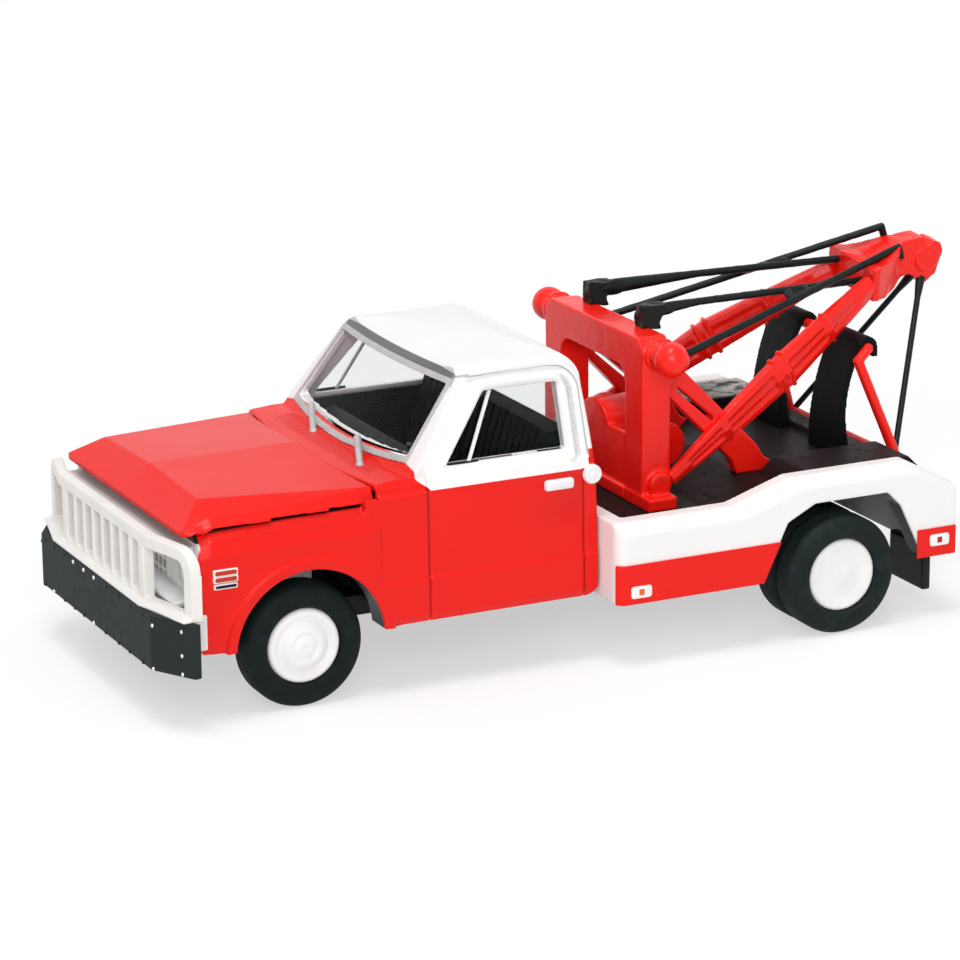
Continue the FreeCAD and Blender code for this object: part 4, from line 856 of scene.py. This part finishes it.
@dataclass
class Cab:
    """Body casting, hood, windows and the trim on the cab's sides."""

    bench: Bench
    frame_radius: float = 0.4
    rail_radius: float = 0.4
    skin_y: float = 14.75
    skin_z: float = 18.5
    seam_depth: float = 0.16
    seam_half: float = 0.17
    flare: float = 0.14
    flare_radius: float = 8.3
    lip_lift: float = 0.5
    hood_drop: float = 0.26
    hood_lip_drop: float = 0.22
    hood_lip_z: float = 18.9
    side_low: Point = (20.1, 14.6)
    side_high: Point = (26.5, 12.6)
    handle: Point = (-25.05, 15.0, 17.36)
    handle_half: Point = (1.45, 0.75, 0.5)
    filler: Point = (-28.45, 15.3, 17.85)

    def side_y(self, z: float) -> float:
        """Distance of the cab's side from the middle at a height above the belt."""
        (low_z, low_y), (high_z, high_y) = self.side_low, self.side_high
        share = (z - low_z) / (high_z - low_z)
        return low_y + (high_y - low_y) * share

    def press(self, places: np.ndarray) -> np.ndarray:
        """Door seams pressed in, wheel arches' flares raised, fenders brought close to the hood's edges."""
        x, y, z = places.T
        off = np.abs(y)
        skin = rise(off - self.skin_y, 0.1) * (z < self.skin_z)
        seams = sum(np.clip(1 - ((x - at) / self.seam_half) ** 2, 0, 1) for at in DOOR_SEAMS)
        reach = np.hypot(x - ARCH[0], z - ARCH[1])
        swell = np.exp(-((reach - self.flare_radius) / 0.7) ** 2) * rise(15.0 - z, 2)
        push = swell * self.flare - seams * self.seam_depth
        ledge = rise(x + 7.4, 0.4) * rise(9.7 - x, 0.3) * rise(z - 16.3, 0.6)
        ledge *= rise(off - 13.6, 0.4) * rise(15.6 - off, 0.45)
        lift = ledge * self.lip_lift * rise(off - 14.92, 0.2)
        return np.stack([x, y + np.sign(y) * push * skin, z + lift], axis=1)

    def press_hood(self, places: np.ndarray) -> np.ndarray:
        """The hood's side edges brought down to the fenders."""
        x, y, z = places.T
        off, run = np.abs(y), rise(9.9 - x, 0.8)
        drop = self.hood_drop * rise(off - 13.9, 0.5)
        drop += self.hood_lip_drop * rise(off - 14.5, 0.3) * (z < self.hood_lip_z)
        return np.stack([x, y, z - run * drop], axis=1)

    def build(self) -> None:
        """Model and paint the cab."""
        bench, paints = self.bench, self.bench.paints
        bench.cast("body_casting", "cab_body", paints.cab, Slot.RED, 0.12, 4, extras=self.side_frames(),
                   push=self.press, most=4 * TRIANGLES)
        bench.cast("hood", "hood_panel", paints.red, Slot.RED, 0.09, 5, Body.HOOD, push=self.press_hood)
        for node in ("windshield", "side_windows", "rear_window"):
            bench.dress(node, paints.clear, Slot.CLEAR)
        bench.cast("windshield_trim", "windshield_rim", paints.silver, Slot.SILVER, 0.07, 3)
        bench.cast("vent_bars", "vent_frames", paints.white_plastic, Slot.SILVER, 0.06, 2)
        self.build_sills()
        self.build_handles()
        self.build_wipers()

    def side_frames(self) -> list[Piece]:
        """Raised frame round each door window and the drip rail over it."""
        bench = self.bench
        corners = [(-13.9, 20.3), (-17.1, 24.5), (-18.4, 26.4), (-18.8, 26.62), (-19.6, 26.66),
                   (-24.9, 26.66), (-26.2, 26.6), (-26.65, 26.1), (-26.7, 25.2), (-26.72, 20.3),
                   (-26.72, 19.4)]
        spots = [(x, self.side_y(z) - 0.02, z) for x, z in corners]
        ring = bench.tube("window_frame", spots, self.frame_radius, swell=[0.6, 0.8] + [1.0] * 9)
        rail = [(-17.2, 12.25, 27.35), (-18.4, 12.0, 27.7), (-22.0, 11.85, 27.85), (-26.2, 11.95, 27.8),
                (-27.6, 12.1, 27.3), (-28.2, 12.5, 26.0), (-28.35, 13.05, 24.2), (-28.4, 13.95, 21.8),
                (-28.4, 14.85, 19.3)]
        strip = bench.tube("drip_rail", rail, self.rail_radius, swell=[0.4, 0.8] + [1.0] * 7)
        return [ring, bench.twin(ring), strip, bench.twin(strip)]

    def build_sills(self) -> None:
        """Black seals along the front of each door window's lower edge."""
        bench, paints = self.bench, self.bench.paints
        line = [(x, self.side_y(20.3) - 0.08, 20.36) for x in (-14.0, -15.5, -17.4)]
        seal = bench.tube("window_seals", line, 0.14, swell=[0.5, 1.0, 0.6])
        bench.both(seal, paints.black, Slot.BLACK)

    def build_handles(self) -> None:
        """Door handles and fuel filler caps."""
        bench, paint = self.bench, self.bench.paints.disc
        (x, y, z), (half_x, depth, half_z) = self.handle, self.handle_half
        handle = bench.block("handles", (x - half_x, y, z - half_z), (x + half_x, y + depth, z + half_z))
        bench.both(bench.bevel(handle, 0.28, 4), paint, Slot.WHITE_PLASTIC, ["door_handles"])
        x, y, z = self.filler
        rim = ((-0.4, 0.01), (-0.4, 0.9), (0.2, 0.9), (0.38, 0.78), (0.42, 0.6), (0.36, 0.5),
               (0.46, 0.3), (0.48, 0.01))
        cap = bench.lathe("filler_caps", [(y + out, radius) for out, radius in rim], (x, 0, z), 32)
        bench.both(cap, paint, Slot.WHITE_PLASTIC, ["fuel_fillers"])

    def build_wipers(self) -> None:
        """Two flat wiper arms from their pivots on the cowl to the windshield's frame."""
        bench, paints = self.bench, self.bench.paints
        arms = []
        for x, y in ((-9.4, -3.9), (-8.6, 8.3)):
            line = [(x, y, 19.6), (x - 0.3, y - 0.8, 19.95), (x - 1.75, y - 4.4, 20.75)]
            arms += [bench.tube("arm", line, 0.3, swell=[1.0, 1.0, 1.2]),
                     bench.dome("foot", (x, y, 19.55), (0.4, 0.4, 0.32))]
        bench.done(bench.join(arms, "wiper_arms"), paints.silver, Slot.SILVER, ["wiper_stubs"])


@dataclass
class FrontEnd:
    """Grille, headlights, bumper, push pad, guard and the fender badges."""

    bench: Bench
    bolt_radius: float = 0.2
    bolt_height: float = 0.12
    badge_y: float = 15.6

    def build(self) -> None:
        """Model and paint the front of the truck."""
        bench, paints = self.bench, self.bench.paints
        bench.dress("grille_backing", paints.black, Slot.BLACK)
        for node, name, paint, slot in (("grille", "grille_screen", paints.grille, Slot.SILVER),
                                        ("headlights", "headlight_lenses", paints.lens, Slot.CLEAR)):
            bench.done(bench.copy_of(node, name), paint, slot, [node])
        bench.cast("front_bumper", "bumper", paints.white_plastic, Slot.WHITE_PLASTIC, 0.12, 3)
        bench.cast("brush_guard", "guard", paints.white_plastic, Slot.WHITE_PLASTIC, 0.1, 3)
        bench.cast("push_pad", "pad", paints.pad, Slot.BLACK, 0.12, 3, push=self.set_back)
        self.build_bolts()
        self.build_badges()

    def set_back(self, places: np.ndarray) -> np.ndarray:
        """The pad's front moved back by the height of a bolt's head."""
        x, y, z = places.T
        front = x + 0.57 * np.clip(np.abs(y) - 13.8, 0, None) > 13.8
        return np.stack([x - front * self.bolt_height, y, z], axis=1)

    def build_bolts(self) -> None:
        """Round bolt heads along the push pad's edges: most are black, some are bright metal."""
        bench, paints = self.bench, self.bench.paints
        rows = [(9.9, (-12.8, -10.4, -7.8, -5.3, -2.6, 0.0, 3.1, 6.1, 9.1, 11.9), (-5.3, -2.6, 0.0)),
                (5.5, (-13.3, -10.8, -7.9, -5.3, -2.9, -0.4, 2.6, 5.9, 8.55, 11.8), (-10.8, -0.4))]
        spots = [(14.08, y, z, y in gleaming) for z, row, gleaming in rows for y in row]
        spots += [(13.95, 14.0, 9.5, True), (12.35, 16.8, 9.5, True), (12.35, 16.8, 7.3, True),
                  (12.35, 16.8, 5.6, True), (13.95, 13.95, 5.5, True), (13.95, -14.0, 9.5, False),
                  (12.35, -16.8, 9.5, False), (12.35, -16.8, 7.3, False), (12.35, -16.8, 5.6, False)]
        size = self.bolt_radius
        heads = {True: [], False: []}
        for x, y, z, gleaming in spots:
            heads[gleaming].append(bench.dome("bolt", (x, y, z), (self.bolt_height, size, size)))
        bench.done(bench.join(heads[True], "bright_bolts"), paints.bright, Slot.STEEL)
        bench.done(bench.join(heads[False], "black_bolts"), paints.black, Slot.BLACK)
        studs = [bench.dome("stud", (9.85, side * y, z), (0.12, 0.13, 0.13))
                 for side in (1, -1) for y, z in ((2.8, 10.6), (4.75, 10.7))]
        bench.done(bench.join(studs, "grille_studs"), paints.disc, Slot.WHITE_PLASTIC)

    def build_badges(self) -> None:
        """Side lamps on the fenders: two amber bars in a silver frame and a plain dark plate below."""
        bench, paints = self.bench, self.bench.paints
        face = self.badge_y
        frames, bars = [], []
        for low, high in ((13.55, 14.15), (12.95, 13.55)):
            frames.append(bench.block("rim", (6.45, face - 0.3, low), (8.75, face + 0.1, high)))
            bars.append(bench.tablet("bar", (7.6, face, (low + high) / 2), (1.02, 0.2), 0.17, 0.15))
        frames.append(bench.block("rim", (6.5, face - 0.3, 12.35), (8.7, face + 0.08, 12.85)))
        plate = bench.block("badge_plates", (6.62, face, 12.46), (8.58, face + 0.11, 12.74))
        for part in (*frames, plate):
            bench.bevel(part, 0.09, 3)
        bench.both(bench.join(frames, "badge_rims"), paints.disc, Slot.SILVER, ["fender_badges"])
        bench.both(bench.join(bars, "badge_bars"), paints.amber, Slot.SILVER)
        bench.both(plate, paints.black, Slot.SILVER)


@dataclass
class Wheels:
    """Tyres, discs and axles of both wheelsets."""

    bench: Bench
    radius: float = WHEEL_RADIUS
    width: float = 3.4
    bore: float = 3.5
    front_face: float = 15.16
    rear_face: float = 19.4
    gap: float = 0.5
    rear_x: float = REAR_AXLE_X
    groove_half: float = 0.06
    groove_depth: float = 0.12
    domed: Sequence[Point] = (
        (2.2, 0.64), (2.2, 3.47), (0.75, 3.49), (0.35, 3.37), (0.2, 3.11), (0.25, 2.8), (0.42, 2.6),
        (0.45, 2.34), (0.12, 2.03), (-0.05, 1.6), (-0.06, 1.25), (0.02, 1.12), (-0.08, 0.95), (-0.2, 0.6),
        (-0.2, 0.22), (-0.12, 0.12), (-0.12, 0.01), (0.9, 0.01), (0.9, 0.64))
    sunk: Sequence[Point] = (
        (6.1, 0.64), (6.1, 3.47), (0.75, 3.49), (0.5, 3.43), (0.36, 3.27), (0.34, 3.06), (0.42, 2.75),
        (0.5, 2.2), (0.5, 1.7), (0.42, 1.45), (0.44, 1.25), (0.38, 1.0), (0.28, 0.7), (0.26, 0.3),
        (0.26, 0.01), (0.95, 0.01), (0.95, 0.64))

    def tyre(self, name: str, x: float, face: float) -> Piece:
        """One tyre with tread grooves, its outer face at a distance from the middle."""
        inner = face - self.width
        r, bore = self.radius, self.bore
        wall = ((0.6, bore - 0.02), (0.3, bore + 0.05), (0.06, bore + 0.25), (0.0, bore + 0.6),
                (0.02, bore + 1.2), (0.1, r - 0.62), (0.28, r - 0.3), (0.55, r - 0.1), (0.85, r))
        outside = [(face - inset, radius) for inset, radius in wall]
        middle, half, deep = (face + inner) / 2, self.groove_half, r - self.groove_depth
        tread = [(middle + offset + out, radius) for offset in (0.84, 0.56, 0.28, 0.0, -0.28, -0.56, -0.84)
                 for out, radius in ((half, r), (half / 2, deep), (-half / 2, deep), (-half, r))]
        inside = [(inner + (face - y), radius) for y, radius in reversed(outside)]
        return self.bench.lathe(name, outside + tread + inside, (x, 0, r), 80)

    def build(self) -> None:
        """Model both wheelsets."""
        bench, paints = self.bench, self.bench.paints
        fronts = self.tyre("front_rubber", 0.0, self.front_face)
        bench.both(fronts, paints.front_rubber, Slot.RUBBER, ["front_tyres"], Body.FRONT)
        faces = (self.rear_face, self.rear_face - self.width - self.gap)
        rears = bench.join([self.tyre("rear_rubber", self.rear_x, face) for face in faces], "rear_rubber")
        bench.both(rears, paints.rear_rubber, Slot.RUBBER, ["rear_tyres"], Body.REAR)
        for name, rim, face, x, node, body in (
                ("front_caps", self.domed, self.front_face, 0.0, "front_discs", Body.FRONT),
                ("rear_dishes", self.sunk, self.rear_face, self.rear_x, "rear_discs", Body.REAR)):
            disc = bench.lathe(name, [(face - inset, radius) for inset, radius in rim], (x, 0, self.radius))
            bench.both(disc, paints.disc, Slot.WHITE_PLASTIC, [node], body, 50.0)
        for node in ("front_axle", "rear_axle"):
            bench.dress(node, paints.steel, Slot.STEEL)


@dataclass
class ServiceBed:
    """White bed with its deck, red panels, marker plates, flaps and tail lamps."""

    bench: Bench
    marker_y: float = 19.15

    def build(self) -> None:
        """Model and paint the bed."""
        bench, paints = self.bench, self.bench.paints
        bench.cast("bed", "bed_body", paints.bed, Slot.WHITE, 0.15, 3, most=2 * TRIANGLES)
        bar = bench.tube("deck_bar", [(-60.2, -5.0, 14.0), (-60.2, 0.0, 14.1), (-60.2, 5.0, 14.0)], 0.35)
        bench.cast("deck", "deck_plate", paints.deck, Slot.BLACK, 0.15, 3, extras=[bar])
        bench.cast("skirt_panels", "red_panels", paints.red, Slot.RED, 0.08, 2)
        bench.cast("mud_flaps", "flaps", paints.black, Slot.BLACK, 0.12, 3, lumps=0.02)
        bench.cast("tail_lamps", "tail_lenses", paints.lamp_red, Slot.LAMP, 0.08, 3)
        self.build_markers()

    def build_markers(self) -> None:
        """White marker plates with a coloured square in the middle."""
        bench, paints = self.bench, self.bench.paints
        face = self.marker_y
        plates, squares = [], []
        for x, z, kind, paint in ((-31.5, 7.28, "orange", paints.orange),
                                  (-63.3, 7.72, "red", paints.lamp_red)):
            plates.append(bench.tablet("plate", (x, face - 0.02, z), (1.05, 0.57), 0.27, 0.14))
            square = bench.block("marker_" + kind, (x - 0.28, face, z - 0.3),
                                 (x + 0.28, face + 0.14, z + 0.3))
            squares.append((bench.bevel(square, 0.05, 2), paint))
        bench.both(bench.join(plates, "marker_plates"), paints.disc, Slot.WHITE_PLASTIC, ["marker_lamps"])
        for square, paint in squares:
            bench.both(square, paint, Slot.WHITE_PLASTIC)


@dataclass
class Crane:
    """Mast, winch, braces, booms, head, stays, cables, sling and belts."""

    bench: Bench
    boom_foot: Point = (-39.4, 10.1, 14.5)
    boom_collar: Point = (-53.4, 7.2, 22.8)
    boom_end: Point = (-64.8, 3.6, 28.9)
    collar_share: float = 0.54
    boom_depth: float = 3.5
    depth_shares: Point = (0.0, 0.1, 0.3, 0.54, 0.8, 1.0)
    depths: Point = (0.36, 0.5, 0.8, 1.0, 0.78, 0.58)
    ribs: Point = (0.25, 0.5, 0.54, 0.76)
    channel: float = 0.26
    rod: float = 0.36
    stay_top: Point = (-39.5, 5.3, 29.84)
    stay_tip: Point = (-65.3, 2.4)
    stay_foot: Point = (-39.9, 8.5, 25.2)
    stay_bend: Point = (-69.1, 1.6)
    bracket: Sequence[Point] = ((-38.7, 28.0), (-38.7, 30.0), (-41.4, 30.0), (-41.4, 29.4), (-40.7, 29.1),
                                (-40.4, 28.5), (-40.6, 27.9))

    def hollow(self, side: float) -> Push:
        """Rule that presses a long channel into both faces of a boom, between its ribs."""
        spots = (self.boom_foot, self.boom_collar, self.boom_end)
        foot, collar, end = (np.array([x, y * side, z]) for x, y, z in spots)
        along = end - foot
        wide = np.array([along[1], -along[0], 0.0])
        wide /= np.linalg.norm(wide)
        tall = np.cross(wide, along)
        tall /= np.linalg.norm(tall)

        def push(places: np.ndarray) -> np.ndarray:
            """Move the vertices of one boom."""
            share = (places - foot) @ along / (along @ along)
            low = foot + (collar - foot) * (share / self.collar_share)[:, None]
            high = collar + (end - collar) * ((share - self.collar_share) / (1 - self.collar_share))[:, None]
            off = places - np.where((share <= self.collar_share)[:, None], low, high)
            half = np.interp(share, self.depth_shares, self.depths) * self.boom_depth / 2
            dip = np.clip(1.3 - (off @ tall / (0.5 * half)) ** 2, 0, 1)
            for rib in self.ribs:
                dip *= np.clip(np.abs(share - rib) / 0.012 - 0.8, 0, 1)
            dip *= rise(share - 0.07, 0.03) * rise(0.93 - share, 0.03)
            return places - np.outer(np.sign(off @ wide) * dip * self.channel, wide)

        return push

    def stay_extras(self, side: float, tip_z: float, bend_z: float, arm: float,
                    reach: float) -> list[Piece]:
        """Tapered arm behind a stay's bracket and the flat web between its crossing rods."""
        bench = self.bench
        top, foot = (Vector((x, side * y, z)) for x, y, z in (self.stay_top, self.stay_foot))
        tip = Vector((self.stay_tip[0], side * self.stay_tip[1], tip_z))
        bend = Vector((self.stay_bend[0], side * self.stay_bend[1], bend_z))
        run, slant = tip - top, bend - foot
        spots = [top + run * share + Vector((0, 0, -drop)) for share, drop in
                 ((-0.02, 0.7), (0.0, 0.45), (reach / 2, 0.2), (reach, 0.0), (reach + 0.05, 0.0))]
        arm_piece = bench.tube("arm", [tuple(one) for one in spots], 1.0, sides=4,
                               swell=[arm * 0.9, arm, (arm + self.rod) / 2, self.rod, self.rod * 0.9])
        corners = [top + run * 0.6, top + run * 0.79, foot + slant * 0.685, foot + slant * 0.515]
        web = bench.plate("web", [tuple(one - Vector((0, 0.24, 0))) for one in corners], (0.0, 0.48, 0.0))
        bracket = bench.plate("bracket", [(x, top.y - 0.8, z) for x, z in self.bracket], (0.0, 1.6, 0.0))
        return [arm_piece, web, bracket]

    def ruffle(self, places: np.ndarray) -> np.ndarray:
        """The stays' brackets made uneven, as they are moulded."""
        x, y, z = places.T
        swell = 0.12 * rise(x + 42.5, 0.5) * np.sin(3.1 * y) * np.sin(2.7 * z + 2.3 * x)
        return np.stack([x + swell, y, z + swell], axis=1)

    def build(self) -> None:
        """Model and paint the lifting gear."""
        bench, paints = self.bench, self.bench.paints
        for node, voxel, rounds, lumps, grain, push in (
                ("mast", 0.14, 3, 0.05, 0.6, None), ("winch", 0.13, 4, 0.05, 0.9, None),
                ("mast_braces", 0.1, 3, 0.03, 0.9, None), ("boom_head", 0.1, 5, 0.16, 1.6, None),
                ("sling_frame", 0.1, 2, 0.04, 0.9, None), ("boom_left", 0.09, 3, 0.05, 0.7, self.hollow(1.0)),
                ("boom_right", 0.09, 3, 0.05, 0.7, self.hollow(-1.0))):
            bench.cast(node, "cast_" + node, paints.red_plastic, Slot.RED_PLASTIC, voxel, rounds,
                       lumps=lumps, grain=grain, push=push)
        for node, *shape in (("stay_left", 1.0, 29.1, 31.7, 0.62, 0.22),
                             ("stay_right", -1.0, 30.2, 33.14, 0.85, 0.4)):
            bench.cast(node, "rod_" + node, paints.black, Slot.BLACK, 0.09, 3,
                       lumps=0.06, extras=self.stay_extras(*shape), grain=0.8, push=self.ruffle)
        bench.cast("sling_belts", "straps", paints.strap, Slot.BLACK, 0.1, 3, lumps=0.02)
        cones = [bench.tube("cone", [(-72.2 + 8.1 * share, side * (0.8 + 8.8 * share), 28.2 - 15.0 * share)
                                     for share in (0.0, 0.06, 0.12)], 1.0, swell=[0.5, 0.42, 0.3])
                 for side in (1.0, -1.0)]
        bench.cast("hoist_cables", "cable_rods", paints.black, Slot.BLACK, 0.07, 3, lumps=0.015, extras=cones)


@dataclass
class Underside:
    """Seat, dashboard, steering wheel, engine and chassis."""

    bench: Bench

    def build(self) -> None:
        """Paint what lies inside and below."""
        paints = self.bench.paints
        self.bench.dress("engine", paints.silver, Slot.SILVER)
        self.bench.dress("seat", paints.cloth, Slot.BLACK)
        for node in ("dashboard", "steering_wheel", "chassis"):
            self.bench.dress(node, paints.black, Slot.BLACK)


@dataclass
class Studio:
    """Pale floor, soft lights and the camera of the photograph."""

    turn_deg: float = 25.87
    elevation_deg: float = 16.36
    roll_deg: float = -0.47
    distance: float = 366.6
    focal_px: float = 3908.7
    image_px: float = 960.0
    floor_glow: float = 0.55
    glow_half: Point = (58, 30)
    world_light: float = 0.5
    target: Point = (-24.6, 0.0, 13.8)

    def build(self) -> None:
        """Set the floor, the world, the lamps and the camera."""
        self.build_floor()
        self.build_world()
        self.build_lamps()
        self.build_camera()

    def build_floor(self) -> None:
        """Large white floor that keeps the model's shadow."""
        bpy.ops.object.select_all(action="DESELECT")
        bpy.ops.mesh.primitive_plane_add(size=8.0, location=(0, 0, 0))
        floor = bpy.context.object
        floor.name = "studio_floor"
        recipe = Recipe("floor_white")
        tone = recipe.mix(recipe.noise(0.01, 1.0), shade(WHITE, 0.97), shade(WHITE, 0.98))
        recipe.set(Base_Color=tone, Roughness=0.9, Specular_IOR_Level=0.0)
        glow = recipe.node("ShaderNodeEmission", None, {"Color": WHITE, "Strength": 1.0})
        x, y, _ = recipe.axes()
        along, across = (x - self.target[0]) * (1 / self.glow_half[0]), y * (1 / self.glow_half[1])
        beyond = (across * across + along * along).root().ease(1.2, 3.0) * (1 - self.floor_glow)
        blend = recipe.node("ShaderNodeMixShader", None, {
            0: recipe.seen() * (beyond + self.floor_glow),
            1: Wire(recipe, recipe.shader.outputs[0]), 2: Wire(recipe, glow.outputs[0])})
        recipe.plug(recipe.output.inputs["Surface"], Wire(recipe, blend.outputs[0]))
        floor.data.materials.append(recipe.material)

    def build_world(self) -> None:
        """White surroundings, dimmer as a light than as a view."""
        world = bpy.data.worlds.new("studio_world")
        bpy.context.scene.world = world
        tree = Tree(world)
        level = tree.node("ShaderNodeMapRange", None,
                          {"Value": tree.seen(), "To Min": self.world_light, "To Max": 1.0})
        sky = tree.node("ShaderNodeBackground", None,
                        {"Color": WHITE, "Strength": Wire(tree, level.outputs["Result"])})
        tree.node("ShaderNodeOutputWorld", None, {0: Wire(tree, sky.outputs[0])})

    def build_lamps(self) -> None:
        """A large soft lamp above and a weaker one from the camera's side."""
        aim = Vector((0.0, 0.0, 0.012))
        for name, spot, size, power in (("top_lamp", (0.12, 0.1, 0.7), 0.3, 2.4),
                                        ("side_lamp", (0.35, 0.75, 0.45), 0.4, 2.9)):
            lamp = bpy.data.lights.new(name, "AREA")
            lamp.shape = "SQUARE"
            lamp.size = size
            lamp.energy = power
            holder = bpy.data.objects.new(name, lamp)
            bpy.context.scene.collection.objects.link(holder)
            holder.location = spot
            holder.rotation_euler = (Vector(spot) - aim).to_track_quat("Z", "Y").to_euler()

    def build_camera(self) -> None:
        """Camera at the photograph's place, with its angle of view."""
        turn, rise, roll = (math.radians(one) for one in (self.turn_deg, self.elevation_deg, self.roll_deg))
        back = Vector((math.sin(turn) * math.cos(rise), math.cos(turn) * math.cos(rise), math.sin(rise)))
        right = Vector((-math.cos(turn), math.sin(turn), 0.0))
        up = back.cross(right)
        rolled_right = right * math.cos(roll) + up * math.sin(roll)
        rolled_up = up * math.cos(roll) - right * math.sin(roll)
        place = (Vector(self.target) + back * self.distance + Vector((AXLE_X, 0, 0))) * MM
        lens = bpy.data.cameras.new("photo_camera")
        lens.sensor_width = 36.0
        lens.lens = self.focal_px / self.image_px * lens.sensor_width
        lens.clip_start = 0.01
        lens.clip_end = 20.0
        camera = bpy.data.objects.new("photo_camera", lens)
        bpy.context.scene.collection.objects.link(camera)
        matrix = Matrix((rolled_right, rolled_up, back)).transposed().to_4x4()
        matrix.translation = place
        camera.matrix_world = matrix
        bpy.context.scene.camera = camera


def main() -> None:
    """Build every sub-assembly in order and report it."""
    logging.basicConfig(level=logging.INFO, format="%(name)s: %(message)s")
    bpy.context.scene.view_settings.view_transform = "Standard"
    Studio().build()
    bench = Bench(PaintShop())
    for assembly in (Cab, FrontEnd, Wheels, ServiceBed, Crane, Underside):
        assembly(bench).build()
        LOG.info("%s built, %d new pieces so far", assembly.__name__, bench.count)


if __name__ == "__main__":
    main()
